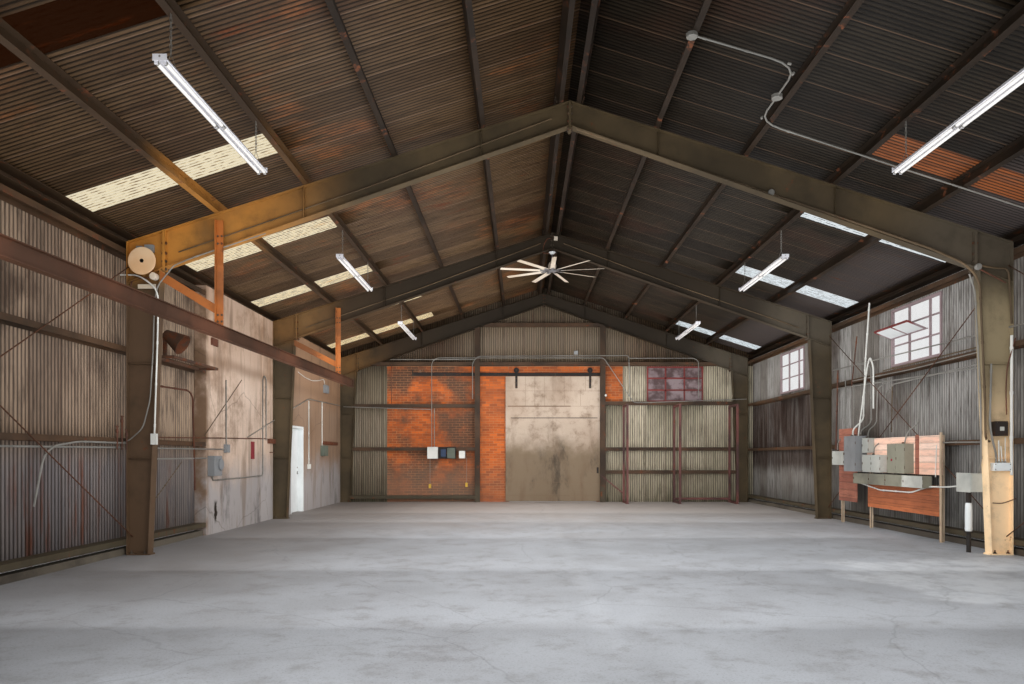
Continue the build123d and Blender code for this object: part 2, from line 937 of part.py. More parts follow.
with BuildPart() as rail_hangers:
    for line in frame_lines[:-1]:
        face = line - flange_width / 2 if line > front_line else line + flange_width / 2
        towards = -1 if line > front_line else 1
        middle = -rail_offset(line)
        with BuildSketch(Plane.XY.offset(rail_top)):
            half = rail_hanger_width / 2
            plate = sorted((face, face + towards * rail_hanger_thickness))
            leg = sorted((face, face + towards * rail_hanger_leg))
            rectangle_between((middle - half, plate[0]), (middle + half, plate[1]))
            rectangle_between((middle - half, leg[0]), (middle - half + rail_hanger_thickness, leg[1]))
        extrude(amount=rail_hanger_height - rail_top_height)
        brace_start = (column_inner(rail_brace_height + rail_brace_depth), rail_brace_height)
        brace_end = (rail_offset(line), rail_brace_height - rail_brace_fall)
        with BuildSketch(cross_plane(-1, face)):
            plate_section(brace_start, brace_end, (0, rail_brace_depth))
        extrude(amount=-towards * rail_hanger_thickness)
save(rail_hangers, "rail_hangers")

# Ceiling fan under the ridge of the third frame
fan_line = frame_lines[2]
fan_motor_bottom = fan_hub_height + fan_hub_thickness / 2 + fan_running_gap
canopy_top = ridge_bottom - ridge_plate_drop
with BuildPart() as fan_mount:
    with BuildSketch(Plane((0, fan_line, slab_thickness + fan_motor_bottom))):
        Circle(fan_motor_radius)
    extrude(amount=fan_motor_height)
    fillet(fan_mount.edges(), radius=fan_rod_radius)
    with BuildSketch(Plane((0, fan_line, slab_thickness + fan_motor_bottom + fan_motor_height / 2))):
        Circle(fan_rod_radius)
    extrude(amount=canopy_top - fan_motor_bottom - fan_motor_height / 2)
    with BuildSketch(Plane((0, fan_line, slab_thickness + canopy_top))):
        Circle(fan_canopy_radius)
    extrude(amount=-fan_canopy_height, taper=fan_canopy_taper)
save(fan_mount, "fan_mount")

with BuildPart() as fan_rotor:
    with BuildSketch(Plane((0, fan_line, slab_thickness + fan_hub_height))):
        Circle(fan_hub_radius)
    extrude(amount=fan_hub_thickness / 2, both=True)
    for number in range(fan_blade_count):
        turn = radians(fan_first_blade + 360 * number / fan_blade_count)
        outward = (cos(turn), sin(turn), 0)
        blade_plane = Plane(
            origin=(0, fan_line, slab_thickness + fan_hub_height),
            x_dir=(-sin(turn), cos(turn), 0),
            z_dir=outward,
        )
        with BuildSketch(blade_plane.offset(fan_hub_radius / 2)):
            SlotOverall(fan_blade_width, fan_blade_thickness, rotation=fan_blade_pitch)
        extrude(amount=fan_radius - fan_hub_radius / 2)
save(fan_rotor, "fan_rotor")

# Twin-tube strip lights, one on each side of every bay, hung from the purlins
with BuildPart() as strip_lights:
    for side in sides.values():
        for bay_start in bay_starts:
            middle = bay_start + bay_length / 2
            with BuildSketch(cross_plane(side, middle)):
                with Locations((light_offset, light_height + light_depth / 2)):
                    Trapezoid(light_width, light_depth, light_side_angle)
            extrude(amount=light_length / 2, both=True)
            tube_height = light_height - tube_radius / 2
            with BuildSketch(cross_plane(side, middle)):
                with Locations(
                    (light_offset - tube_spacing / 2, tube_height),
                    (light_offset + tube_spacing / 2, tube_height),
                ):
                    Circle(tube_radius)
            extrude(amount=light_length / 2, both=True)
            for end in (-1, 1):
                y = middle + end * (light_length / 2 - light_chain_inset)
                top = slab_thickness + light_height + light_depth
                with BuildSketch(Plane((side * light_offset, y, top))):
                    Circle(light_chain_radius)
                extrude(amount=roof_line(light_offset + light_chain_radius) - light_height - light_depth)
save(strip_lights, "strip_lights")

# Crossed bracing rods between the columns' webs
with BuildPart() as wall_bracing:
    for side, bay in braced_bays:
        start = frame_lines[bay] + web_thickness / 2
        run = bay_length - web_thickness
        rise = rod_high_height - rod_low_height
        length = (run**2 + rise**2) ** 0.5
        rods = (
            (half_width - rod_outer_inset, rod_low_height, rise),
            (half_width - rod_inner_inset, rod_high_height, -rise),
        )
        for x, height, climb in rods:
            with BuildSketch(gable_plane(start)):
                with Locations((side * x, height)):
                    Circle(rod_radius)
            extrude(amount=length, dir=(0, run, climb))
save(wall_bracing, "wall_bracing")

# Storage rack: three frames of square tube against the gable girts, with a brace
rack_rear = rear_line - post_half
rack_front = rack_rear - rack_depth
with BuildPart() as pipe_rack:
    for x in rack_frames:
        with BuildSketch(side_wall_plane(1, x - rack_tube / 2)):
            rectangle_between((rack_front, 0), (rack_rear, rack_height))
            rectangle_between(
                (rack_front + rack_tube, rack_tube),
                (rack_rear - rack_tube, rack_height - rack_tube),
                mode=Mode.SUBTRACT,
            )
        extrude(amount=rack_tube)
    with BuildSketch(gable_plane(rack_rear)):
        rectangle_between((rack_frames[1], rack_low_rail), (rack_frames[2], rack_low_rail + rack_tube))
    extrude(amount=rack_tube)
    with BuildSketch(gable_plane(rack_rear)):
        plate_section(
            (post_right - post_half, rack_brace_start),
            (rack_frames[0], rack_brace_end),
            (0, -rack_brace_depth),
        )
    extrude(amount=rack_brace_thickness)
save(pipe_rack, "pipe_rack")

# Electrical boards and their boxes
board_back = half_width - board_wall_gap - board_post_depth
board_face = board_back - board_thickness
with BuildPart() as switchboards:
    with BuildSketch(side_wall_plane(1, board_face)):
        for low, high in boards:
            rectangle_between(low, high)
    extrude(amount=board_thickness)
    for y, height in board_posts:
        with BuildSketch(side_wall_plane(1, board_back)):
            rectangle_between((y - board_post_width / 2, 0), (y + board_post_width / 2, height))
        extrude(amount=board_post_depth)
save(switchboards, "switchboards")

with BuildPart() as switch_boxes:
    for low, high, depth in board_boxes:
        with BuildSketch(side_wall_plane(1, board_face)):
            rectangle_between(low, high)
        extrude(amount=-depth)
save(switch_boxes, "switch_boxes")

box_frame = frame_lines[1]


def inset_rectangle(inner, outer):
    """Rectangle between two corners whose first values are insets from the column's face."""
    rectangle_between((half_width - inner[0], inner[1]), (half_width - outer[0], outer[1]))


with BuildPart() as column_boxes:
    for inner, outer, depth in column_web_boxes:
        with BuildSketch(gable_plane(box_frame - web_thickness / 2)):
            inset_rectangle(inner, outer)
        extrude(amount=depth)
    with BuildSketch(gable_plane(box_frame + flange_width / 2)):
        inset_rectangle(*column_edge_box)
    extrude(amount=-column_edge_box_length)
save(column_boxes, "column_boxes")

# Round lamp on the column's web
with BuildPart() as knee_lamp:
    lamp_plane = gable_plane(box_frame - web_thickness / 2)
    with BuildSketch(lamp_plane):
        with Locations((-lamp_offset, lamp_height)):
            Circle(lamp_stem_radius)
    extrude(amount=lamp_stand_off)
    with BuildSketch(lamp_plane.offset(lamp_stand_off)):
        with Locations((-lamp_offset, lamp_height)):
            Circle(lamp_radius - lamp_rim)
    with BuildSketch(lamp_plane.offset(lamp_stand_off + lamp_depth)):
        with Locations((-lamp_offset, lamp_height)):
            Circle(lamp_radius)
    loft()
save(knee_lamp, "knee_lamp")

# Bracket shelf on the left wall's girt, with the cowl on its stand
with BuildPart() as cowl_shelf:
    with BuildSketch(Plane.XY.offset(slab_thickness + shelf_height)):
        shelf_low = (-half_width, shelf_start)
        shelf_high = (shelf_depth - half_width, shelf_end)
        rectangle_between(shelf_low, shelf_high)
        rectangle_between(
            (shelf_low[0] + shelf_angle, shelf_low[1] + shelf_angle),
            (shelf_high[0] - shelf_angle, shelf_high[1] - shelf_angle),
            mode=Mode.SUBTRACT,
        )
    extrude(amount=shelf_angle)
save(cowl_shelf, "cowl_shelf")

with BuildPart() as horn_cowl:
    cowl_axis = (cos(radians(cowl_tilt)), 0, -sin(radians(cowl_tilt)))
    cowl_start = (cowl_inset - half_width, cowl_place, slab_thickness + cowl_height)
    cowl_plane = Plane(origin=cowl_start, x_dir=(0, 1, 0), z_dir=cowl_axis)
    with Locations(cowl_plane):
        Cone(
            cowl_small_radius,
            cowl_mouth_radius,
            cowl_length,
            align=(Align.CENTER, Align.CENTER, Align.MIN),
        )
    with Locations(cowl_plane.offset(cowl_wall)):
        Cone(
            cowl_small_radius - cowl_wall,
            cowl_mouth_radius - cowl_wall,
            cowl_length,
            align=(Align.CENTER, Align.CENTER, Align.MIN),
            mode=Mode.SUBTRACT,
        )
    with BuildSketch(Plane.XY.offset(slab_thickness + shelf_height + shelf_angle)):
        with Locations((-half_width + cowl_stand_width / 2, cowl_place)):
            Rectangle(cowl_stand_width, cowl_stand_width)
    extrude(amount=cowl_height - shelf_height - shelf_angle)
    with BuildSketch(side_wall_plane(-1, half_width - cowl_stand_width)):
        with Locations((cowl_place, cowl_height - cowl_stand_width / 2)):
            Rectangle(cowl_stand_width, cowl_stand_width)
    extrude(amount=cowl_inset)
save(horn_cowl, "horn_cowl")

# Flashing that leads water from the gable sheets over the brickwork
with BuildPart() as brick_coping:
    with BuildSketch(side_wall_plane(1, brick_left_edge)):
        Polygon(
            (gable_line, brick_height),
            (gable_line + brick_thickness, brick_height),
            (gable_line, brick_height + coping_rise),
            align=None,
        )
    extrude(amount=brick_right_edge - brick_left_edge)
save(brick_coping, "brick_coping")
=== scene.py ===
import bmesh
import bpy
import json
import math
import random
from itertools import product
from mathutils import Matrix, Vector

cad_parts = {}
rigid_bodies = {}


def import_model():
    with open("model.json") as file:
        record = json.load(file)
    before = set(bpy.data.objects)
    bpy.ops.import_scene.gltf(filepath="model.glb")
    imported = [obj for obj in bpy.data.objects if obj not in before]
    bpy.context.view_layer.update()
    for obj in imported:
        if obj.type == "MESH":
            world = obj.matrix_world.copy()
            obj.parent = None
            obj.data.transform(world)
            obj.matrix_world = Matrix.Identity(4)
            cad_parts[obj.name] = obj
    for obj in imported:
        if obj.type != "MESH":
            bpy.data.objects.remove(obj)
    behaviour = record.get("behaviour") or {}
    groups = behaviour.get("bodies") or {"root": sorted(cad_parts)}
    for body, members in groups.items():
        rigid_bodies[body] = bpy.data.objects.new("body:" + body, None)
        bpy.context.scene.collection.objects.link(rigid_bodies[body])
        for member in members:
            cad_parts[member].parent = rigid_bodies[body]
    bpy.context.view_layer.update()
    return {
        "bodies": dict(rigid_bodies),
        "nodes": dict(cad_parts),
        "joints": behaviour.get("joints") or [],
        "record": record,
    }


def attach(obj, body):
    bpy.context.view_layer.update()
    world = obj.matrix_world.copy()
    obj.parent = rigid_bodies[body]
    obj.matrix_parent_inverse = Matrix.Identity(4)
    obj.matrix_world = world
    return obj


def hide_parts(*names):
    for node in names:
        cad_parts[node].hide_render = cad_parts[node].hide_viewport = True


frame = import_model()
nodes = frame["nodes"]
scene = bpy.context.scene
scene.view_settings.view_transform = "Standard"
draw = random.Random(7)
SIDES = (-1, 1)
FORWARDS = (0, -1, 0)
BACKWARDS = (0, 1, 0)
UP = (0, 0, 1)

# Sizes of the building, in metres: +Y runs to the rear gable, heights from the ground
SLAB = 0.12
HALF_WIDTH = 6.096
WALL_LINE = 6.296
MASONRY_FACE = 6.096
EAVE = SLAB + 4.31
RIDGE = SLAB + 6.25
PURLIN_DEPTH = 0.2
PURLIN_LINES = (0.15, 1.2192, 2.4384, 3.6576, 4.8768)
GABLE_SHEETS = 9.272
GABLE_OVERHANG = 0.2
GABLE_LINE = 9.29
ROOF_EDGE = 6.394
SHEET_DEPTH = 0.018
MASONRY_START = -0.511
SHEET_END_LAP = 0.06
FRAME_LINES = (-9.144, -3.048, 3.048, 9.144)
BAY = 6.096
SLOPE = (RIDGE - EAVE) / HALF_WIDTH
ROOF_ANGLE = math.atan(SLOPE)
COS_ROOF = math.cos(ROOF_ANGLE)
SIN_ROOF = math.sin(ROOF_ANGLE)
SPLICE = 5.584
RIDGE_BOTTOM = SLAB + 5.91
RAFTER_FALL = (5.91 - 3.94) / 5.63


def roof_line(x):
    """Height of the rafters' top at a distance from the centre."""
    return RIDGE - SLOPE * abs(x)


def rafter_bottom(x):
    """Height of the rafters' underside at a distance from the centre."""
    return RIDGE_BOTTOM - RAFTER_FALL * abs(x)


def sheet_underside(x):
    """Height of the roof sheets' underside at a distance from the centre."""
    return roof_line(x) + PURLIN_DEPTH / COS_ROOF


# Materials
class Paint:
    """One node material, with short names for the nodes that it is made of."""

    def __init__(self, name, roughness=0.7, metallic=0.0):
        self.material = bpy.data.materials.new(name)
        self.material.use_nodes = True
        self.tree = self.material.node_tree
        self.shader = self.tree.nodes["Principled BSDF"]
        self.shader.inputs["Roughness"].default_value = roughness
        self.shader.inputs["Metallic"].default_value = metallic
        self.place = self.node("ShaderNodeTexCoord").outputs["Object"]

    x = property(lambda self: self.axis("X"))
    y = property(lambda self: self.axis("Y"))
    z = property(lambda self: self.axis("Z"))

    def node(self, kind, **settings):
        made = self.tree.nodes.new(kind)
        for key, value in settings.items():
            setattr(made, key, value)
        return made

    def link(self, source, target):
        if isinstance(source, bpy.types.NodeSocket):
            self.tree.links.new(source, target)
        elif hasattr(source, "__len__") and len(source) == 3 and target.type == "RGBA":
            target.default_value = (*source, 1.0)
        else:
            target.default_value = source

    def stretched(self, stretch):
        mapping = self.node("ShaderNodeMapping")
        self.link(self.place, mapping.inputs["Vector"])
        mapping.inputs["Scale"].default_value = stretch
        return mapping.outputs["Vector"]

    def noise(self, scale, detail=4.0, stretch=(1, 1, 1), roughness=0.55):
        made = self.node("ShaderNodeTexNoise")
        self.link(self.stretched(stretch), made.inputs["Vector"])
        made.inputs["Scale"].default_value = scale
        made.inputs["Detail"].default_value = detail
        made.inputs["Roughness"].default_value = roughness
        return made.outputs["Fac"]

    def band(self, value, low, high):
        """0 where the value is at low or under, 1 where it is at high or over."""
        made = self.node("ShaderNodeMapRange", interpolation_type="SMOOTHSTEP")
        self.link(value, made.inputs["Value"])
        made.inputs["From Min"].default_value = low
        made.inputs["From Max"].default_value = high
        return made.outputs["Result"]

    def spots(self, low, high, *grain, **settings):
        """Noise turned into soft-edged spots: 0 at low or under, 1 at high or over."""
        return self.band(self.noise(*grain, **settings), low, high)

    def ragged(self, value, amount, *grain, **settings):
        """The value with a noise of that amount on it, for an uneven edge."""
        return self.plus(value, self.times(self.noise(*grain, **settings), amount))

    def near(self, value, middle, reach):
        """1 at the middle, falling to 0 at the reach from it."""
        return self.band(self.math("ABSOLUTE", self.minus(value, middle)), reach, 0.0)

    def math(self, operation, first, second=0.5):
        made = self.node("ShaderNodeMath", operation=operation)
        self.link(first, made.inputs[0])
        self.link(second, made.inputs[1])
        return made.outputs["Value"]

    def plus(self, first, second):
        return self.math("ADD", first, second)

    def minus(self, first, second):
        return self.math("SUBTRACT", first, second)

    def times(self, *values):
        result = values[0]
        for value in values[1:]:
            result = self.math("MULTIPLY", result, value)
        return result

    def axis(self, name):
        made = self.node("ShaderNodeSeparateXYZ")
        self.link(self.place, made.inputs["Vector"])
        return made.outputs[name]

    def mix(self, factor, first, second, blend="MIX"):
        made = self.node("ShaderNodeMix", data_type="RGBA", blend_type=blend)
        self.link(factor, made.inputs["Factor"])
        self.link(first, made.inputs[6])
        self.link(second, made.inputs[7])
        return made.outputs[2]

    def cell(self, value, width, seed=0.0):
        """A number from 0 to 1 that changes from one step of a width to the next."""
        step = self.math("FLOOR", self.math("DIVIDE", value, width))
        made = self.node("ShaderNodeTexWhiteNoise", noise_dimensions="1D")
        self.link(self.plus(step, seed), made.inputs["W"])
        return made.outputs["Value"]

    def joint(self, value, width, share):
        """1 in a narrow line between one step of a width and the next."""
        place = self.math("FRACT", self.math("DIVIDE", value, width))
        edge = self.math("ABSOLUTE", self.minus(place, 0.5))
        return self.band(edge, 0.5 - share, 0.5 - share / 3)

    def island(self):
        return self.node("ShaderNodeNewGeometry").outputs["Random Per Island"]

    def bump(self, height, distance, strength=1.0):
        made = self.node("ShaderNodeBump")
        self.link(height, made.inputs["Height"])
        made.inputs["Distance"].default_value = distance
        made.inputs["Strength"].default_value = strength
        self.link(made.outputs["Normal"], self.shader.inputs["Normal"])

    def surface(self, shader):
        """The material with another shader than its own at its output."""
        self.link(shader, self.tree.nodes["Material Output"].inputs["Surface"])
        return self.material

    def finish(self, colour, roughness=None):
        self.link(colour, self.shader.inputs["Base Color"])
        if roughness is not None:
            self.link(roughness, self.shader.inputs["Roughness"])
        return self.material


def srgb(red, green, blue):
    """Linear colour from its 0 to 255 values."""
    return tuple(((value / 255 + 0.055) / 1.055) ** 2.4 for value in (red, green, blue))


def darker(colour, share):
    return tuple(share * value for value in colour)


RUST = srgb(128, 72, 40)
DARK_RUST = srgb(70, 42, 28)


def steel_paint(name, base, shade, rust_level, grime=0.5, metallic=0.0, roughness=0.65, wear_and_light=()):
    """Old painted steel: two tones of paint, rust patches and grime.

    The list of (colour, function that makes the mask) pairs is for places whose tone differs:
    changed paint, stains, and painted light and shade.
    """
    paint = Paint(name, roughness, metallic)
    tone = paint.mix(paint.spots(0.35, 0.65, 0.9, 6), base, shade)
    for colour, mask in wear_and_light:
        tone = paint.mix(mask(paint), tone, colour)
    grain = paint.noise(14, 5, roughness=0.7)
    dirt = paint.spots(0.45, 0.8, 2.6, 8, roughness=0.7)
    tone = paint.mix(paint.times(dirt, grime), tone, darker(shade, 0.35))
    rust_mask = paint.band(paint.noise(3.7, 10, roughness=0.72), rust_level, rust_level + 0.09)
    rust = paint.mix(grain, RUST, DARK_RUST)
    paint.bump(grain, 0.002, 0.4)
    rough = paint.plus(paint.times(rust_mask, 0.25), roughness)
    return paint.finish(paint.mix(rust_mask, tone, rust), rough)


SHEET_COVER = 0.6093
WAVE_PITCH = 0.0677


def sheet_steel(
    name, along, clean, worn, rust_level, lap_rust_and_highlight=DARK_RUST, foot=None, wear_and_light=(), valley_dust_and_shade=0.5
):
    """Corrugated galvanised steel: tone by sheet, streaks down the fall, rust, lap lines (on the
    roofs painted highlights) and painted shade with dust in the valleys.

    Foot is (height, colour) for the growth and splashes at the sheets' lower ends; the next
    argument holds (colour, function that makes the mask) for stains, wear, painted light and
    painted shade; and the last says how dark the painted shade and dust in the waves' valleys are.
    """
    paint = Paint(name, 0.55, 0.2)
    across = paint.axis(along)
    tone = paint.mix(paint.cell(across, SHEET_COVER), clean, worn)
    stretch = [0.3, 0.3, 0.3]
    stretch["XYZ".index(along)] = 3.2
    streaks = paint.noise(7.0, 6, stretch, 0.65)
    tone = paint.mix(paint.band(streaks, 0.42, 0.75), tone, darker(worn, 0.55))
    cloud = paint.noise(0.55, 5, roughness=0.6)
    tone = paint.mix(paint.times(paint.band(cloud, 0.5, 0.75), 0.6), tone, DARK_RUST)
    for colour, mask in wear_and_light:
        tone = paint.mix(mask(paint), tone, colour)
    if foot:
        rise = paint.ragged(paint.z, -1.2, 2.2, 6, stretch, 0.65)
        under = paint.band(rise, foot[0] - 0.4, foot[0] - 1.1)
        tone = paint.mix(paint.times(under, 0.8), tone, foot[1])
    fine_patch = paint.times(paint.noise(2.2, 9, stretch, 0.7), 0.6)
    patch = paint.plus(fine_patch, paint.times(paint.noise(0.7, 6), 0.4))
    rust_mask = paint.band(patch, rust_level, rust_level + 0.08)
    fine = paint.noise(30, 4)
    rust = paint.mix(fine, RUST, DARK_RUST)
    # Lap lines: rust at the joints, and on the roofs a painted highlight along each lap
    tone = paint.mix(paint.times(paint.joint(across, SHEET_COVER, 0.018), 0.75), tone, lap_rust_and_highlight)
    tone = paint.mix(rust_mask, tone, rust)
    # Painted shade, with dust, in the valleys of the waves
    wave = paint.math("COSINE", paint.times(across, 2 * math.pi / WAVE_PITCH))
    tone = paint.mix(paint.times(paint.band(wave, 0.2, -0.9), valley_dust_and_shade), tone, darker(worn, 0.12))
    paint.bump(fine, 0.0008, 0.3)
    rough = paint.plus(paint.times(rust_mask, 0.3), 0.5)
    return paint.finish(tone, rough)


MOSS = srgb(84, 92, 48)


def region(share, *limits):
    """Mask with a share of the paint inside limits of (axis, where it is 0, where it is 1)."""

    def mask(paint):
        inside = [paint.band(paint.axis(axis), low, high) for axis, low, high in limits]
        return paint.times(*inside) if share == 1 else paint.times(*inside, share)

    return mask


far_left_gable = region(0.7, ("X", -3.0, -5.5))
right_eave = region(0.8, ("X", 4.4, 5.9))
grey_foot = region(0.65, ("Z", 1.8, 1.3))
# Painted light from the left skylights on the purlins below them
left_eaves_skylight_light = region(0.6, ("Y", -5.2, -4.2), ("Y", -0.5, -2.5), ("X", -3.4, -4.4), ("X", -5.8, -5.2))
# A painted highlight on the outer purlins of the left-hand slope
brown_eaves_highlight = region(0.8, ("X", -3.2, -4.0))
right_knee = region(0.8, ("X", 4.2, 5.4), ("Z", 3.6, 4.2))
low_girts = region(0.8, ("Z", 0.7, 0.5))
side_windows = region(1, ("X", 6.0, 6.1))


# Painted shade over the lower far end of the right-hand wall
def far_right_wall_shade(paint):
    foot = paint.ragged(paint.z, 0.5, 1.4, 6)
    inside = paint.times(paint.band(paint.z, 3.2, 2.9), paint.band(foot, 1.2, 1.6))
    streaks = paint.times(paint.spots(0.4, 0.6, 4.0, 6, (1.0, 2.4, 0.2), 0.65), 0.3)
    return paint.times(paint.band(paint.y, 3.2, 4.6), inside, paint.minus(0.96, streaks))


def gable_middle(paint):
    middle = paint.band(paint.math("ABSOLUTE", paint.x), 3.2, 1.8)
    return paint.times(middle, paint.band(paint.y, 0, 1), 0.45)


def rusty_roof_strip(paint):
    """A sheet whose zinc has gone, between two purlins and the eaves."""
    off = paint.math("ABSOLUTE", paint.plus(paint.y, 4.1))
    worn = paint.plus(paint.times(paint.spots(0.35, 0.6, 4.0, 6, (0.5, 2.0, 0.5)), 0.4), 0.6)
    return paint.times(paint.band(off, 0.32, 0.29), paint.band(paint.x, 3.7, 3.8), worn)


def rusty_left_roof(paint):
    patches = paint.spots(0.52, 0.66, 0.5, 7, (0.8, 1.0, 1.0), 0.65)
    return paint.times(patches, paint.spots(0.4, 0.6, 5.0, 7, (0.4, 2.0, 0.4), 0.65), 0.75)


def rusty_foot(paint):
    streaks = paint.noise(2.6, 7, (1.0, 1.6, 0.16), 0.65)
    return paint.times(paint.band(paint.z, 1.7, 1.2), paint.band(streaks, 0.52, 0.66), 0.85)


def sooty_head(paint):
    soot = paint.spots(0.46, 0.66, 0.8, 6, roughness=0.6)
    return paint.times(soot, paint.band(paint.z, 1.9, 3.0), 0.8)


left_wall_steel = sheet_steel(
    "left_wall_steel",
    "Y",
    srgb(196, 170, 144),
    srgb(142, 120, 102),
    0.62,
    wear_and_light=(
        (srgb(128, 130, 138), grey_foot),
        (srgb(128, 74, 50), rusty_foot),
        (srgb(70, 50, 38), sooty_head),
    ),
    valley_dust_and_shade=0.78,
)
right_wall_steel = sheet_steel(
    "right_wall_steel",
    "Y",
    srgb(172, 170, 166),
    srgb(130, 124, 116),
    0.61,
    wear_and_light=((srgb(52, 35, 28), far_right_wall_shade),),
)
gable_steel = sheet_steel(
    "gable_sheet_steel",
    "X",
    srgb(214, 202, 178),
    srgb(184, 174, 150),
    0.65,
    foot=(0.2, MOSS),
    wear_and_light=((srgb(108, 92, 74), far_left_gable),),
    valley_dust_and_shade=0.65,
)
gable_top_steel = sheet_steel(
    "gable_top_steel",
    "X",
    srgb(116, 95, 74),
    srgb(84, 69, 52),
    0.60,
    wear_and_light=((srgb(168, 152, 130), gable_middle),),
    valley_dust_and_shade=0.6,
)
left_roof_steel = sheet_steel(
    "left_roof_steel",
    "Y",
    srgb(108, 84, 58),
    srgb(80, 60, 40),
    0.57,
    # Lighter lap lines: painted highlights along the laps
    lap_rust_and_highlight=srgb(124, 100, 80),
    wear_and_light=((srgb(150, 92, 50), rusty_left_roof),),
    valley_dust_and_shade=0.92,
)
# The right slope's weathered steel, darkened by painted shade
right_roof_steel_shaded = sheet_steel(
    "right_roof_steel_shaded",
    "Y",
    srgb(50, 42, 31),
    srgb(34, 28, 21),
    0.62,
    # Lighter lap lines: painted highlights along the laps
    lap_rust_and_highlight=srgb(98, 76, 58),
    wear_and_light=((srgb(84, 76, 74), right_eave), (srgb(150, 84, 42), rusty_roof_strip)),
    valley_dust_and_shade=0.85,
)
# Warm tone of painted light from the left skylights on the frames and purlins
OCHRE_SKYLIGHT_LIGHT = srgb(190, 128, 50)


# Mask of the painted skylight light on the left rafters, strongest in the near bay
def left_rafters_skylight_light(paint):
    return paint.times(
        paint.band(paint.x, -2.8, -5.0),
        paint.band(paint.z, 3.7, 4.2),
        paint.spots(0.2, 0.55, 0.7, 4),
        paint.plus(paint.times(paint.band(paint.y, -2.0, -2.9), 0.7), 0.25),
    )


# Mask of painted shade on the middle of the rafters of the two rear frames
def rear_rafters_shade(paint):
    middle = paint.band(paint.math("ABSOLUTE", paint.x), 5.4, 4.4)
    return paint.times(paint.band(paint.y, 1.0, 2.0), middle, 0.85)


def left_column(paint):
    side = paint.band(paint.x, -5.2, -5.6)
    frame = paint.near(paint.y, FRAME_LINES[1], 0.9)
    return paint.times(side, frame, paint.band(paint.z, 4.0, 3.5))


def right_column(paint):
    side = paint.band(paint.x, 5.2, 5.6)
    frame = paint.near(paint.y, FRAME_LINES[1], 0.9)
    return paint.times(side, frame, paint.band(paint.z, 4.1, 3.4))


# Mask of painted sunlight on the lower right-hand column
def right_column_foot_sunlight(paint):
    return paint.times(right_column(paint), paint.band(paint.z, 2.9, 1.2))


frame_paint = steel_paint(
    "frame_paint",
    srgb(82, 68, 46),
    srgb(60, 50, 34),
    0.62,
    wear_and_light=(
        (OCHRE_SKYLIGHT_LIGHT, left_rafters_skylight_light),
        (srgb(88, 67, 48), left_column),
        (srgb(38, 30, 21), rear_rafters_shade),
        (srgb(84, 76, 64), right_knee),
        (srgb(140, 126, 98), right_column),
        (srgb(255, 222, 178), right_column_foot_sunlight),
    ),
)
purlin_paint = steel_paint(
    "purlin_paint",
    srgb(42, 31, 21),
    srgb(30, 23, 16),
    0.57,
    wear_and_light=((srgb(68, 51, 35), brown_eaves_highlight), (OCHRE_SKYLIGHT_LIGHT, left_eaves_skylight_light)),
)
girt_paint = steel_paint(
    "girt_paint", srgb(84, 60, 40), srgb(56, 43, 31), 0.57, wear_and_light=((srgb(70, 64, 48), low_girts),)
)
rail_paint = steel_paint("rail_paint", srgb(98, 58, 36), srgb(70, 44, 28), 0.6)
hanger_paint = steel_paint("hanger_paint", srgb(172, 98, 38), srgb(116, 68, 32), 0.58)
track_paint = steel_paint("track_paint", srgb(52, 44, 40), srgb(40, 36, 34), 0.6)
window_paint = steel_paint(
    "window_paint",
    srgb(136, 52, 48),
    srgb(104, 44, 42),
    0.66,
    wear_and_light=((srgb(150, 132, 134), side_windows),),
)
white_paint = steel_paint("white_door_paint", srgb(232, 236, 236), srgb(214, 218, 218), 0.8, 0.12)
enamel = steel_paint(
    "light_enamel", srgb(232, 232, 234), srgb(214, 214, 222), 0.9, 0.1, roughness=0.35
)
tube_glass = steel_paint(
    "tube_glass", srgb(246, 244, 240), srgb(236, 234, 232), 0.95, 0.05, roughness=0.2
)
fan_metal = steel_paint("fan_metal", srgb(150, 150, 152), srgb(124, 124, 130), 0.8, 0.3, 0.5, 0.4)
fan_tan = steel_paint("fan_tan", srgb(226, 214, 196), srgb(206, 190, 168), 0.85, 0.2, 0.1, 0.5)
conduit_steel = steel_paint(
    "conduit_steel", srgb(168, 166, 160), srgb(140, 138, 132), 0.72, 0.4, 0.5, 0.45
)
rusty_pipe = steel_paint("rusty_pipe", srgb(106, 62, 44), srgb(78, 50, 38), 0.52)
white_pipe = steel_paint("white_pipe", srgb(222, 222, 216), srgb(196, 196, 190), 0.8, 0.3)
grey_box = steel_paint("grey_box_paint", srgb(148, 150, 150), srgb(122, 124, 126), 0.68, 0.45)
green_box = steel_paint("green_box_paint", srgb(104, 112, 100), srgb(84, 92, 82), 0.7, 0.4)
blue_box = steel_paint("blue_box_paint", srgb(62, 84, 116), srgb(48, 64, 92), 0.75, 0.4)
tag_paint = steel_paint("tag_paint", srgb(216, 176, 60), srgb(188, 150, 50), 0.85, 0.2)
bolt_steel = steel_paint("bolt_steel", srgb(96, 84, 70), srgb(72, 60, 50), 0.5, 0.4, 0.3)
cowl_rust = steel_paint("cowl_rust", srgb(92, 64, 46), srgb(60, 46, 38), 0.5)
rack_paint = steel_paint("rack_paint", srgb(112, 66, 60), srgb(72, 50, 48), 0.58)
roof_pipe = steel_paint("roof_pipe", srgb(112, 92, 68), srgb(84, 70, 52), 0.6, 0.4, 0.2)
lamp_face = steel_paint("lamp_face", srgb(236, 206, 170), srgb(222, 178, 132), 0.9, 0.15, 0.0, 0.5)
red_plate = steel_paint("red_plate", srgb(150, 44, 56), srgb(116, 38, 44), 0.8, 0.3)


def floor_rear(paint):
    rear = paint.ragged(paint.y, 6.0, 0.4, 6)
    return paint.times(paint.band(rear, 1.0, 10.0), 0.75)


def floor_left(paint):
    edge = paint.ragged(paint.x, 3.0, 0.4, 6)
    rear = paint.band(paint.y, -9.0, -4.0)
    return paint.times(paint.band(edge, -0.5, -4.0), rear, 0.7)


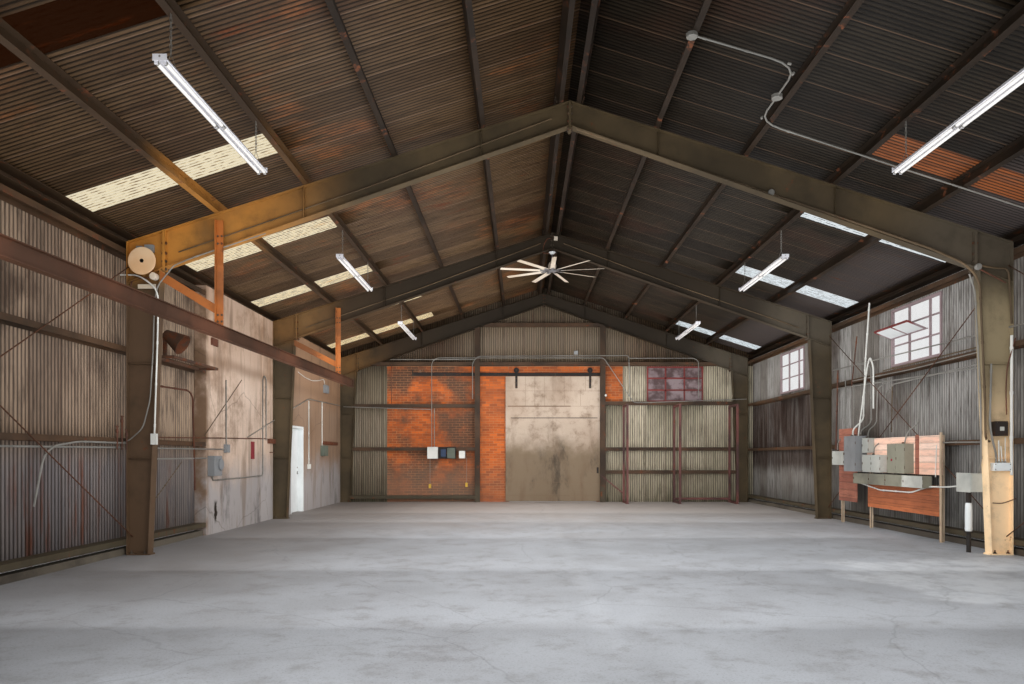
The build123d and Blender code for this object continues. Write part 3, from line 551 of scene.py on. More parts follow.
def floor_patch(paint):
    """Paler patch on the floor by the right-hand wall near the front."""
    ragged = paint.times(paint.minus(paint.noise(0.8, 8, roughness=0.65), 0.5), 2.4)
    inside = paint.band(paint.plus(paint.x, ragged), 3.0, 3.4)
    length = paint.times(
        paint.band(paint.plus(paint.y, ragged), -6.8, -6.3),
        paint.band(paint.plus(paint.y, ragged), -3.5, -3.9),
    )
    return paint.times(inside, length, paint.spots(0.3, 0.6, 3.0, 8, roughness=0.7), 0.7)


def masonry_head_light_and_dust(paint):
    """Painted amber light, with dust, on the top of the plaster under the eaves."""
    rise = paint.ragged(paint.z, 1.2, 0.9, 6)
    return paint.times(paint.band(rise, 3.1, 4.2), 0.4)


def masonry_drips(paint):
    drips = paint.noise(2.6, 8, (1.0, 1.4, 0.16), 0.62)
    return paint.times(paint.band(drips, 0.52, 0.66), 0.5)


def masonry_edge(paint):
    return paint.times(paint.near(paint.y, -0.5, 0.16), paint.spots(0.25, 0.6, 3.0, 6))


# A hole in the plaster, drawn as painted shade
def masonry_hole_shade(paint):
    wander = paint.times(paint.minus(paint.noise(7.0, 5), 0.5), 0.3)
    across = paint.near(paint.plus(paint.y, wander), -0.11, 0.1)
    return paint.times(across, paint.near(paint.z, 0.5, 0.24), 3.0)


def leaf_stains(paint):
    streaks = paint.noise(1.5, 8, (1.6, 1.0, 0.45), 0.68)
    low = paint.band(paint.z, 3.4, 0.4)
    return paint.times(paint.band(streaks, 0.5, 0.68), paint.plus(paint.times(low, 0.5), 0.25))


def concrete(
    name, light, dark, stain,
    cracks=0.0, foot=None, shaded=None, wear_and_light=(), speckle=0.35, clouds=0.22,
):
    """Concrete or plaster: clouds, blots, grit and hair cracks.

    Foot is (height, colour) for the damp and dirt near the floor, shaded is (place along the
    building, colour) for painted shade over the bays beyond it, with drips and a dark band at 3.24
    m there, and the list of (colour, mask) pairs is as in sheet_steel.
    """
    paint = Paint(name, 0.75)
    large = paint.noise(clouds, 8, roughness=0.62)
    tone = paint.mix(paint.band(large, 0.38, 0.62), light, dark)
    blots = paint.noise(4 * clouds, 10, roughness=0.7)
    tone = paint.mix(paint.times(paint.band(blots, 0.5, 0.68), 0.7), tone, stain)
    grit = paint.noise(60, 6, roughness=0.75)
    tone = paint.mix(paint.times(paint.band(grit, 0.5, 0.8), speckle), tone, light)
    tone = paint.mix(paint.times(paint.band(grit, 0.5, 0.25), speckle), tone, darker(stain, 0.6))
    if shaded:
        # Painted shade over the bays beyond the place, with drips and a dark band at 3.24 m
        beyond = paint.band(paint.y, shaded[0] - 0.4, shaded[0] + 0.4)
        tone = paint.mix(paint.times(beyond, 0.85), tone, shaded[1])
        drips = paint.noise(3.0, 7, (1.0, 1.6, 0.14), 0.6)
        tone = paint.mix(paint.times(paint.band(drips, 0.5, 0.72), 0.6), tone, darker(stain, 0.8))
        mark = paint.near(paint.ragged(paint.z, 0.15, 2.0), 3.24, 0.2)
        tone = paint.mix(paint.times(mark, 0.6), tone, darker(stain, 0.9))
    if foot:
        rise = paint.ragged(paint.z, -1.6, 1.1, 8, roughness=0.65)
        dirt = paint.spots(0.5, 0.7, 1.8, 8, (1, 1, 0.4), 0.7)
        low = paint.mix(dirt, foot[1], darker(foot[1], 0.35))
        tone = paint.mix(paint.band(rise, foot[0] - 0.6, foot[0] - 1.5), tone, low)
    for colour, mask in wear_and_light:
        tone = paint.mix(mask(paint), tone, colour)
    if cracks:
        wander = paint.node("ShaderNodeTexNoise")
        paint.link(paint.place, wander.inputs["Vector"])
        wander.inputs["Scale"].default_value = 1.3
        wander.inputs["Detail"].default_value = 6.0
        bent = paint.node("ShaderNodeMix", data_type="VECTOR")
        bent.inputs["Factor"].default_value = 0.3
        paint.link(paint.place, bent.inputs[4])
        paint.link(wander.outputs["Color"], bent.inputs[5])
        cells = paint.node("ShaderNodeTexVoronoi", feature="DISTANCE_TO_EDGE")
        paint.link(bent.outputs[1], cells.inputs["Vector"])
        cells.inputs["Scale"].default_value = 0.55
        line = paint.band(cells.outputs["Distance"], 0.006, 0.0)
        tone = paint.mix(paint.times(line, cracks), tone, darker(stain, 0.35))
    paint.bump(paint.noise(35, 8, roughness=0.8), 0.004, 0.5)
    return paint.finish(tone, paint.plus(paint.times(blots, -0.35), 0.85))


floor_concrete = concrete(
    "floor_concrete",
    srgb(174, 178, 184),
    srgb(164, 167, 172),
    srgb(146, 147, 149),
    cracks=0.2,
    wear_and_light=(
        (srgb(160, 148, 138), floor_rear),
        (srgb(112, 106, 102), floor_left),
        (srgb(206, 210, 214), floor_patch),
    ),
    speckle=0.8,
    clouds=1.1,
)
kerb_concrete = concrete("kerb_concrete", srgb(98, 90, 78), srgb(74, 67, 58), srgb(46, 41, 36))
plaster = concrete(
    "masonry_plaster",
    srgb(218, 196, 178),
    srgb(186, 160, 140),
    srgb(128, 104, 84),
    cracks=0.4,
    foot=(1.5, srgb(158, 152, 150)),
    shaded=(3.4, srgb(134, 106, 82)),
    wear_and_light=(
        (srgb(158, 116, 80), masonry_head_light_and_dust),
        (srgb(110, 88, 68), masonry_drips),
        (srgb(120, 94, 72), masonry_edge),
        (srgb(36, 28, 22), masonry_hole_shade),
    ),
)
brick_mortar = concrete(
    "brick_mortar", srgb(176, 122, 82), srgb(140, 92, 60), srgb(88, 60, 42), clouds=0.6
)
door_sheet = concrete(
    "door_sheet",
    srgb(186, 168, 150),
    srgb(164, 143, 124),
    srgb(120, 98, 76),
    foot=(2.1, srgb(122, 104, 82)),
    wear_and_light=((srgb(110, 88, 66), leaf_stains),),
    clouds=0.6,
)
door_batten = concrete("door_batten", srgb(128, 100, 78), srgb(104, 82, 64), srgb(84, 64, 50))


def brick_clay():
    """Bricks whose colour changes from one to the next, with soot and lime on some.

    The wall on the left is dirtier than the pier beside the doorway.
    """
    paint = Paint("brick_clay", 0.85)
    tone = paint.mix(paint.island(), srgb(216, 106, 34), srgb(160, 76, 28))
    fine = paint.noise(22, 6, roughness=0.7)
    tone = paint.mix(paint.times(fine, 0.4), tone, srgb(112, 60, 32))
    left = paint.band(paint.x, -1.95, -2.1)
    dirt = paint.spots(0.62, 0.4, 0.9, 8, roughness=0.65)
    dirt = paint.times(dirt, paint.plus(paint.times(left, 0.67), 0.3))
    tone = paint.mix(dirt, tone, srgb(86, 62, 46))
    rise = paint.ragged(paint.z, -1.0, 1.6, 7)
    low = paint.times(paint.band(rise, 1.2, 0.0), paint.plus(paint.times(left, 0.45), 0.3))
    tone = paint.mix(low, tone, srgb(112, 92, 76))
    lime = paint.times(paint.spots(0.6, 0.72, 2.6, 6, roughness=0.7), 0.35)
    tone = paint.mix(lime, tone, srgb(186, 156, 130))
    paint.bump(fine, 0.003, 0.6)
    return paint.finish(tone)


def wood(name, light, dark, along, plank):
    """Planks: a tone for each, grain along them, and dark joints."""
    paint = Paint(name, 0.75)
    across = "Z" if along == "Y" else "X"
    value = paint.axis(across)
    stretch = [1.0, 1.0, 1.0]
    stretch["XYZ".index(across)] = 9.0
    tone = paint.mix(paint.cell(value, plank), light, dark)
    grain = paint.noise(3.0, 8, stretch, 0.7)
    tone = paint.mix(paint.times(paint.band(grain, 0.42, 0.72), 0.6), tone, darker(dark, 0.55))
    stain = paint.spots(0.5, 0.72, 1.1, 7, roughness=0.65)
    tone = paint.mix(paint.times(stain, 0.5), tone, darker(dark, 0.5))
    tone = paint.mix(paint.joint(value, plank, 0.03), tone, darker(dark, 0.25))
    paint.bump(grain, 0.002, 0.5)
    return paint.finish(tone)


brick = brick_clay()
board_red = wood("board_red", srgb(252, 194, 166), srgb(255, 222, 202), "Y", 0.106)
board_orange = wood("board_orange", srgb(190, 108, 64), srgb(160, 90, 56), "Y", 0.12)
board_dark = wood("board_dark", srgb(176, 112, 90), srgb(146, 88, 72), "Y", 0.16)
pale_timber = wood("pale_timber", srgb(206, 186, 160), srgb(186, 162, 136), "Z", 0.3)


def skylight_sheet(name, tint, stain_tone):
    """Stained translucent sheet that lets daylight through its two faces."""
    paint = Paint(name, 0.5)
    tint, stain_tone = ([math.sqrt(value) for value in colour] for colour in (tint, stain_tone))
    stain = paint.spots(0.56, 0.8, 3.2, 8, (0.25, 3.0, 0.25), 0.7)
    wave = paint.math("COSINE", paint.times(paint.y, 2 * math.pi / WAVE_PITCH))
    dashes = paint.spots(0.46, 0.6, 13, 5, (0.7, 3.0, 0.7), 0.6)
    specks = paint.times(paint.band(wave, 0.2, 0.9), dashes)
    colour = paint.mix(paint.times(stain, 0.5), tint, stain_tone)
    colour = paint.mix(paint.times(specks, 0.8), colour, darker(stain_tone, 0.35))
    front = paint.times(paint.band(paint.y, -6.4, -6.7), 0.97)
    colour = paint.mix(front, colour, paint.mix(stain, srgb(96, 64, 40), srgb(160, 96, 50)))
    thin = paint.node("ShaderNodeBsdfTranslucent")
    paint.link(colour, thin.inputs["Color"])
    clear = paint.node("ShaderNodeBsdfTransparent")
    paint.link(colour, clear.inputs["Color"])
    inner = paint.node("ShaderNodeMixShader")
    inner.inputs["Fac"].default_value = 0.95
    paint.link(thin.outputs["BSDF"], inner.inputs[1])
    paint.link(clear.outputs["BSDF"], inner.inputs[2])
    paint.link(colour, paint.shader.inputs["Base Color"])
    outer = paint.node("ShaderNodeMixShader")
    outer.inputs["Fac"].default_value = 0.98
    paint.link(paint.shader.outputs["BSDF"], outer.inputs[1])
    paint.link(inner.outputs["Shader"], outer.inputs[2])
    return paint.surface(outer.outputs["Shader"])


left_skylight_sheet = skylight_sheet("left_skylight_sheet", srgb(255, 242, 210), srgb(232, 150, 60))
right_skylight_sheet = skylight_sheet(
    "right_skylight_sheet", srgb(246, 252, 255), srgb(186, 206, 212)
)


def window_glass(name, dust_tone, dusty, clean):
    """Dusty window glass: how much of the light passes lies between dusty and clean.

    The gable's panes are rusty and let little light through.
    """
    paint = Paint(name, 0.2)
    clear = paint.node("ShaderNodeBsdfTransparent")
    mixer = paint.node("ShaderNodeMixShader")
    dust = paint.spots(0.35, 0.75, 2.2, 6, roughness=0.6)
    gable = paint.band(paint.y, 9.1, 9.2)
    passing = paint.plus(paint.times(dust, dusty - clean), clean)
    passing = paint.times(passing, paint.minus(1.0, paint.times(gable, 0.92)))
    paint.link(passing, mixer.inputs["Fac"])
    tone = paint.mix(dust, dust_tone, darker(dust_tone, 0.7))
    grime = paint.mix(paint.spots(0.4, 0.62, 3.5, 5), srgb(138, 122, 124), srgb(88, 70, 70))
    paint.link(paint.mix(gable, tone, grime), paint.shader.inputs["Base Color"])
    paint.link(paint.shader.outputs["BSDF"], mixer.inputs[1])
    paint.link(clear.outputs["BSDF"], mixer.inputs[2])
    return paint.surface(mixer.outputs["Shader"])


glass = window_glass("dusty_glass", srgb(240, 244, 248), 0.95, 1.0)

NODE_MATERIALS = {
    "floor_slab": floor_concrete,
    "kerbs": kerb_concrete,
    "ridge_cap": right_roof_steel_shaded,
    "man_door": white_paint,
    "man_door_frame": white_paint,
    "sliding_door": door_sheet,
    "door_track": track_paint,
    "window_frames": window_paint,
    "window_glass": glass,
    "overhead_rail": rail_paint,
    "rail_hangers": hanger_paint,
    "fan_mount": fan_metal,
    "fan_rotor": fan_tan,
    "strip_lights": enamel,
    "front_header": girt_paint,
    "wall_bracing": rail_paint,
    "pipe_rack": rack_paint,
    "switchboards": board_red,
    "switch_boxes": grey_box,
    "column_boxes": grey_box,
    "knee_lamp": lamp_face,
    "cowl_shelf": cowl_rust,
    "horn_cowl": cowl_rust,
    "brick_coping": track_paint,
}
PREFIX_MATERIALS = {
    "_columns": frame_paint,
    "_rafters": frame_paint,
    "_purlins": purlin_paint,
    "_girts": girt_paint,
    "_framing": girt_paint,
    "masonry": plaster,
    "brick": brick_mortar,
    "left_wall_sheets": left_wall_steel,
    "right_wall_sheets": right_wall_steel,
    "left_roof_sheets": left_roof_steel,
    "right_roof_sheets": right_roof_steel_shaded,
    "_sheets_": gable_steel,
    "left_skylights": left_skylight_sheet,
    "right_skylights": right_skylight_sheet,
}
for node_name, node in nodes.items():
    chosen = NODE_MATERIALS.get(node_name)
    if chosen is None:
        chosen = next(material for part, material in PREFIX_MATERIALS.items() if part in node_name)
    node.data.materials.clear()
    node.data.materials.append(chosen)


# Mesh pieces
BOX_FACES = ((0, 1, 3, 2), (4, 6, 7, 5), (0, 4, 5, 1), (2, 3, 7, 6), (0, 2, 6, 4), (1, 5, 7, 3))
CORNER_STEPS = 5
LONG_RUN = 0.8
COUPLING = 0.04


class Shape:
    """Gathers the faces of one piece, each with the material that is current."""

    def __init__(self, name, *materials):
        self.name = name
        self.materials = materials
        self.paint = 0
        self.place = Matrix()
        self.verts = []
        self.faces = []
        self.paints = []

    def add(self, verts, faces):
        first = len(self.verts)
        self.verts += [self.place @ Vector(vert) for vert in verts]
        self.faces += [tuple(first + corner for corner in face) for face in faces]
        self.paints += [self.paint] * len(faces)

    def box(self, low, high):
        ends = [sorted(pair) for pair in zip(low, high)]
        self.add([(x, y, z) for x in ends[0] for y in ends[1] for z in ends[2]], BOX_FACES)

    def prism(self, outline, shift):
        """Flat outline carried along by a shift."""
        count = len(outline)
        shift = Vector(shift)
        verts = [Vector(point) for point in outline]
        verts += [point + shift for point in verts]
        sides = [(i, (i + 1) % count, (i + 1) % count + count, i + count) for i in range(count)]
        self.add(verts, [tuple(range(count)), tuple(range(count, 2 * count)), *sides])

    def rings(self, centres, radii, sides, axis=None):
        """Closed skin over circles, square to the axis or to the line through their centres."""
        centres = [Vector(centre) for centre in centres]
        verts = []
        normal = None
        for number, (centre, radius) in enumerate(zip(centres, radii)):
            before = centres[max(number - 1, 0)]
            after = centres[min(number + 1, len(centres) - 1)]
            along = (axis or (after - before)).normalized()
            if normal is None:
                normal = along.orthogonal().normalized()
            normal = (normal - along * normal.dot(along)).normalized()
            other = along.cross(normal)
            for step in range(sides):
                turn = 2 * math.pi * step / sides
                verts.append(centre + radius * (math.cos(turn) * normal + math.sin(turn) * other))
        faces = []
        for ring in range(len(centres) - 1):
            for step in range(sides):
                first = ring * sides + step
                second = ring * sides + (step + 1) % sides
                faces.append((first, second, second + sides, first + sides))
        last = (len(centres) - 1) * sides
        faces += [tuple(range(sides)), tuple(range(last, last + sides))]
        self.add(verts, faces)

    def rod(self, start, end, radius, sides=8):
        self.rings((start, end), (radius, radius), sides)

    def upright(self, x, y, low, high, radius, sides=8):
        self.rod((x, y, low), (x, y, high), radius, sides)

    def tube(self, points, radius, sides=6, turn=0.09, couplings=True):
        """Pipe through the points, bent round at each, with couplings on its long runs."""
        points = [Vector(point) for point in points]
        route = [points[0]]
        for before, corner, after in zip(points, points[1:], points[2:]):
            reach = min(turn, (corner - before).length / 2.1, (after - corner).length / 2.1)
            start = corner + (before - corner).normalized() * reach
            end = corner + (after - corner).normalized() * reach
            for step in range(CORNER_STEPS):
                share = step / (CORNER_STEPS - 1)
                route.append(start.lerp(corner, share).lerp(corner.lerp(end, share), share))
        route.append(points[-1])
        self.rings(route, [radius] * len(route), sides)
        for start, end in zip(points, points[1:]):
            run = end - start
            if couplings and run.length > LONG_RUN:
                for share in (0.1, 0.5, 0.9):
                    spot = start + run * share
                    self.rod(spot, spot + run.normalized() * COUPLING, radius * 1.3, sides)

    def turned(self, profile, centre, axis, sides=20):
        """Skin of (distance along the axis, radius) pairs."""
        axis = Vector(axis).normalized()
        centre = Vector(centre)
        centres = [centre + axis * along for along, radius in profile]
        self.rings(centres, [radius for along, radius in profile], sides, axis)

    def bolt(self, place, axis, radius=0.013, height=0.012):
        """Hexagonal head on a washer."""
        axis = Vector(axis).normalized()
        place = Vector(place)
        self.rod(place, place + axis * height * 0.25, radius * 1.5, 8)
        self.rod(place, place + axis * height, radius, 6)

    def finish(self, slot, body="building", replaces=(), bevel=0.0, corner=35.0):
        mesh = bpy.data.meshes.new(self.name)
        mesh.from_pydata(self.verts, [], self.faces)
        for material in self.materials:
            mesh.materials.append(material)
        mesh.polygons.foreach_set("material_index", self.paints)
        mesh.polygons.foreach_set("use_smooth", [True] * len(self.faces))
        edit = bmesh.new()
        edit.from_mesh(mesh)
        bmesh.ops.recalc_face_normals(edit, faces=edit.faces)
        edit.to_mesh(mesh)
        edit.free()
        mesh.set_sharp_from_angle(angle=math.radians(corner))
        piece = bpy.data.objects.new(self.name, mesh)
        scene.collection.objects.link(piece)
        if bevel:
            edges = piece.modifiers.new("edges", "BEVEL")
            edges.width = bevel
            edges.segments = 1
            edges.limit_method = "ANGLE"
        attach(piece, body)
        if replaces:
            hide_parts(*replaces)
        return piece


def roof_place(side, x, y):
    """Frame on the rafters' top: x down the slope, y along the building, z off the slope."""
    down = (side * COS_ROOF, 0, -SIN_ROOF)
    up = (side * SIN_ROOF, 0, COS_ROOF)
    columns = (down, (0, 1, 0), up, (side * x, y, roof_line(x)))
    return Matrix((*zip(*columns), (0, 0, 0, 1)))


# Corrugated sheets
WAVE_STEPS = 8
SHEET_SKIN = 0.0012


def wave_depth(u):
    """Depth of the corrugation at a place across it."""
    share = 0.5 - 0.5 * math.cos(2 * math.pi * u / WAVE_PITCH)
    return SHEET_SKIN + (SHEET_DEPTH - 2 * SHEET_SKIN) * share


def in_hole(holes, u, v, margin=0.0):
    """Whether a point lies in one of the holes, or in the margin beside them."""
    return any(
        low - margin < u < high + margin and first < v < last for low, high, first, last in holes
    )


def wave_faces(shape, across, rows, place, holes=()):
    """Corrugated surface over a range across the waves, cut along them at the rows.

    Rows are numbers or functions of the place across. Holes are (low, high, first row value,
    last row value), and place turns (across, along, depth) into a point.
    """
    start, end = across
    count = math.ceil((end - start) / WAVE_PITCH * WAVE_STEPS)
    columns = {start + (end - start) * number / count for number in range(count + 1)}
    for low, high, _, _ in holes:
        columns |= {low, high}
    columns = sorted(columns)
    levels = [row if callable(row) else (lambda u, value=row: value) for row in rows]
    verts = [place(u, level(u), wave_depth(u)) for u in columns for level in levels]
    faces = []
    for i in range(len(columns) - 1):
        middle = (columns[i] + columns[i + 1]) / 2
        for j in range(len(levels) - 1):
            along = (levels[j](middle) + levels[j + 1](middle)) / 2
            if not in_hole(holes, middle, along):
                corner = i * len(levels) + j
                faces.append((corner, corner + len(levels), corner + len(levels) + 1, corner + 1))
    shape.add(verts, faces)


def wave_sheet(node, material, slot, runs):
    """Corrugated sheet over the CAD node of the same name; runs are wave_faces' values."""
    shape = Shape(node + "_waves", material)
    for run in runs:
        wave_faces(shape, *run)
    piece = shape.finish(slot, replaces=(node,), corner=60)
    skin = piece.modifiers.new("skin", "SOLIDIFY")
    skin.thickness = SHEET_SKIN
    skin.offset = 0
    return piece


WINDOW_HALF = 0.85
WINDOW_LOW = SLAB + 3.03
WINDOW_TOP = WINDOW_LOW + 1.07
LEFT_WINDOWS = (-6.242,)
RIGHT_WINDOWS = (-6.242, -0.146, 5.95)
KERB_TOP = SLAB + 0.09


def steps(start, end, count):
    """Ends of each of the equal steps from start to end."""
    marks = [start + (end - start) * number / count for number in range(count + 1)]
    return list(zip(marks, marks[1:]))


def window_holes(windows):
    return [(y - WINDOW_HALF, y + WINDOW_HALF, WINDOW_LOW, WINDOW_TOP) for y in windows]


def on_wall(side):
    def place(u, v, w):
        return (side * (WALL_LINE + w), u, v)

    return place


def on_roof(side):
    """Place on a slope: u along the building, v level distance from the ridge, w off the slope."""

    def place(u, v, w):
        return (side * (v + w * SIN_ROOF), u, sheet_underside(v) + w * COS_ROOF)

    return place


def on_gable(facing):
    def place(u, v, w):
        return (u, facing * (GABLE_SHEETS + w), v)

    return place


for side, name, material, windows, rear_end in (
    (-1, "left_wall_sheets", left_wall_steel, LEFT_WINDOWS, MASONRY_START + SHEET_END_LAP),
    (1, "right_wall_sheets", right_wall_steel, RIGHT_WINDOWS, GABLE_LINE),
):
    rows = (KERB_TOP, WINDOW_LOW, WINDOW_TOP, sheet_underside(WALL_LINE + SHEET_DEPTH))
    run = ((-GABLE_LINE, rear_end), rows, on_wall(side), window_holes(windows))
    wave_sheet(name, material, "wall_sheet", [run])

SKYLIGHT_HALF = 0.28
SKYLIGHT_END = 6.28
SKYLIGHT_UPPER = 0.606 * HALF_WIDTH
SKYLIGHT_SHORT = 0.528 * HALF_WIDTH
LEFT_SKYLIGHTS = ((-1.165, 0), (-0.669, 0), (-0.157, 0), (0.346, 0), (0.902, 1), (1.330, 1))
RIGHT_SKYLIGHTS = ((-1.165, 0), (-0.253, 0), (0.353, 0), (1.373, 0))
ROOF_RUN = (-GABLE_LINE - GABLE_OVERHANG, GABLE_LINE + GABLE_OVERHANG)
for side, name, strips, steel, clear in (
    (-1, "left", LEFT_SKYLIGHTS, left_roof_steel, left_skylight_sheet),
    (1, "right", RIGHT_SKYLIGHTS, right_roof_steel_shaded, right_skylight_sheet),
):
    cuts = []
    for bays, is_long in strips:
        upper = SKYLIGHT_SHORT if is_long else SKYLIGHT_UPPER
        cuts.append((bays * BAY - SKYLIGHT_HALF, bays * BAY + SKYLIGHT_HALF, upper, SKYLIGHT_END))
    rows = (0.0, SKYLIGHT_SHORT, SKYLIGHT_UPPER, SKYLIGHT_END, ROOF_EDGE - 0.006)
    wave_sheet(name + "_roof_sheets", steel, "roof_sheet", [(ROOF_RUN, rows, on_roof(side), cuts)])
    strip_runs = [((low, high), (upper, end), on_roof(side)) for low, high, upper, end in cuts]
    wave_sheet(name + "_skylights", clear, "skylight", strip_runs)

# Gable sheets
REAR_TOP = SLAB + 4.09
FRONT_TOP = SLAB + 4.2
REAR_LOW_TOP = SLAB + 3.01
GABLE_WINDOW = (3.1, 4.8, SLAB + 3.01, SLAB + 4.08)
BRICK_LEFT = -4.79
BRICK_RIGHT = 2.44
FRONT_DOOR = 3.81
RIGHT_SHEETS_START = 1.85
GABLE_SHEET_RUNS = {
    "rear_sheets_top": [((-WALL_LINE, WALL_LINE), (REAR_TOP, sheet_underside), on_gable(1))],
    "rear_sheets_left": [((-WALL_LINE, BRICK_LEFT + SHEET_END_LAP), (SLAB, REAR_TOP), on_gable(1))],
    "rear_sheets_right": [
        (
            (RIGHT_SHEETS_START, WALL_LINE),
            (SLAB, REAR_LOW_TOP, GABLE_WINDOW[3], REAR_TOP),
            on_gable(1),
            [
                (RIGHT_SHEETS_START, BRICK_RIGHT - SHEET_END_LAP, REAR_LOW_TOP, REAR_TOP),
                GABLE_WINDOW,
            ],
        )
    ],
    "front_sheets_top": [((-WALL_LINE, WALL_LINE), (FRONT_TOP, sheet_underside), on_gable(-1))],
    "front_sheets_left": [((-WALL_LINE, -FRONT_DOOR), (SLAB, FRONT_TOP), on_gable(-1))],
    "front_sheets_right": [((FRONT_DOOR, WALL_LINE), (SLAB, FRONT_TOP), on_gable(-1))],
}
for name, runs in GABLE_SHEET_RUNS.items():
    steel = gable_top_steel if name.endswith("_top") else gable_steel
    wave_sheet(name, steel, "wall_sheet", runs)

# Brickwork: stretcher bond that stands a little proud of its mortar
BRICK_LENGTH = 0.225
BRICK_HEIGHT = 0.075
BRICK_JOINT = 0.01
BRICK_PROUD = 0.004
BRICK_INSIDE = GABLE_LINE
BRICK_OUTSIDE = GABLE_LINE + 0.2
DOORWAY = (-1.06, 1.59)
DOORWAY_TOP = SLAB + 3.68
BRICK_TOP = SLAB + 4.13
for name, left, right, low in (
    ("brick_wall_left", BRICK_LEFT, DOORWAY[0], 0.0),
    ("brick_wall_right", DOORWAY[1], BRICK_RIGHT, 0.0),
    ("brick_lintel", *DOORWAY, DOORWAY_TOP),
):
    wall = Shape(name + "_bricks", brick_mortar, brick)
    corner = (right, BRICK_OUTSIDE - BRICK_PROUD, BRICK_TOP)
    wall.box((left, BRICK_INSIDE + BRICK_PROUD, low), corner)
    wall.paint = 1
    for course in range(math.ceil(low / BRICK_HEIGHT), math.floor(BRICK_TOP / BRICK_HEIGHT)):
        base = course * BRICK_HEIGHT + BRICK_JOINT / 2
        place = left - (course % 2) * BRICK_LENGTH / 2
        while place < right - 3 * BRICK_JOINT:
            start = max(place + BRICK_JOINT / 2, left)
            end = min(place + BRICK_LENGTH - BRICK_JOINT / 2, right)
            top = base + BRICK_HEIGHT - BRICK_JOINT
            sink = draw.uniform(0, 0.003)
            if end - start > 2 * BRICK_JOINT:
                wall.box((start, BRICK_INSIDE + sink, base), (end, BRICK_INSIDE + 0.03, top))
                wall.box((start, BRICK_OUTSIDE - 0.03, base), (end, BRICK_OUTSIDE - sink, top))
            place += BRICK_LENGTH
    wall.finish("brick", replaces=(name,))

# Bars of the steel windows
BAR = 0.022
FRAME_EDGE = 0.045
BAR_INSIDE, BAR_OUTSIDE = 0.012, 0.03
SIDE_BAR_OFFSETS = (-0.48, 0.21)
SIDE_BAR_RISES = (0.36, 0.68)
bars = Shape("window_bars", window_paint)
for side, places in ((-1, LEFT_WINDOWS), (1, RIGHT_WINDOWS)):
    inner, outer = side * (WALL_LINE - BAR_INSIDE), side * (WALL_LINE + BAR_OUTSIDE)
    for y in places:
        for offset in SIDE_BAR_OFFSETS:
            bars.box(
                (inner, y + offset - BAR / 2, WINDOW_LOW + FRAME_EDGE),
                (outer, y + offset + BAR / 2, WINDOW_TOP - FRAME_EDGE),
            )
        for share in SIDE_BAR_RISES:
            z = WINDOW_LOW + share * (WINDOW_TOP - WINDOW_LOW)
            reach = WINDOW_HALF - FRAME_EDGE
            bars.box((inner, y - reach, z - BAR / 2), (outer, y + reach, z + BAR / 2))
left, right, low, high = GABLE_WINDOW
inner, outer = GABLE_SHEETS - BAR_INSIDE, GABLE_SHEETS + BAR_OUTSIDE
for share in (1 / 3, 2 / 3):
    x = left + (right - left) * share
    z = low + (high - low) * share
    bars.box((x - BAR, inner, low + FRAME_EDGE), (x + BAR, outer, high - FRAME_EDGE))
    bars.box((left + FRAME_EDGE, inner, z - BAR), (right - FRAME_EDGE, outer, z + BAR))
bars.finish("window_paint", bevel=0.002)

# Opened hopper sash of the middle right-hand window, hinged at its foot and tilted inwards
SASH_HINGE = (WALL_LINE - 0.03, 0.06, SLAB + 3.56)
SASH_HEIGHT = 0.34
SASH_HALF_WIDTH = 0.6
SASH_TILT = math.radians(-68)
SASH_BAR = 0.014
sash = Shape("hopper_sash", window_paint, white_paint)
sash.place = Matrix.Translation(SASH_HINGE) @ Matrix.Rotation(SASH_TILT, 4, "Y")
for z in (0, SASH_HEIGHT):
    sash.box((-SASH_BAR, -SASH_HALF_WIDTH, z - SASH_BAR), (SASH_BAR, SASH_HALF_WIDTH, z + SASH_BAR))
for y in (-SASH_HALF_WIDTH, 0, SASH_HALF_WIDTH):
    sash.box((-SASH_BAR, y - SASH_BAR, 0), (SASH_BAR, y + SASH_BAR, SASH_HEIGHT))
sash.paint = 1
sash.box((-0.002, -SASH_HALF_WIDTH, 0), (0.002, SASH_HALF_WIDTH, SASH_HEIGHT))
sash.place = Matrix()
sash.paint = 0
for y in (-SASH_HALF_WIDTH, SASH_HALF_WIDTH):
    hinge = (SASH_HINGE[0], SASH_HINGE[1] + y, SASH_HINGE[2])
    sash.rod(hinge, (hinge[0] + 0.04, hinge[1], hinge[2]), 0.01)
sash.finish("window_paint")

# Sheet fasteners outside, on the crests of the corrugation
FASTENER_STEP = 3
FASTENER = 0.009
FASTENER_SEAT = SHEET_DEPTH - 0.002
FASTENER_MARGIN = 0.02
LEFT_GIRTS = (0.1825, 1.57, 2.83, 4.17)
RIGHT_GIRTS = (0.1825, 1.57, 2.90, 4.17)
REAR_GIRTS = (0.15, 1.59, 2.88)
FRONT_GIRTS = (0.15, 1.59, 2.94)
GABLE_TOP_GIRT = 4.26


def crests(start, end):
    """Crests of the corrugation that get a fastener, from start to end."""
    first = math.ceil(start / WAVE_PITCH / FASTENER_STEP)
    last = math.floor(end / WAVE_PITCH / FASTENER_STEP)
    return [(step * FASTENER_STEP + 0.5) * WAVE_PITCH for step in range(first, last)]


def screw(shape, place, u, v, outward):
    shape.bolt(place(u, v, FASTENER_SEAT), outward, FASTENER, FASTENER)


def roof_screws():
    shape = Shape("roof_screws", bolt_steel)
    for side in SIDES:
        for u, line in product(crests(*ROOF_RUN), (*PURLIN_LINES, WALL_LINE - 0.1)):
            screw(shape, on_roof(side), u, line + 0.03, (side * SIN_ROOF, 0, COS_ROOF))
    shape.finish("roof_sheet")


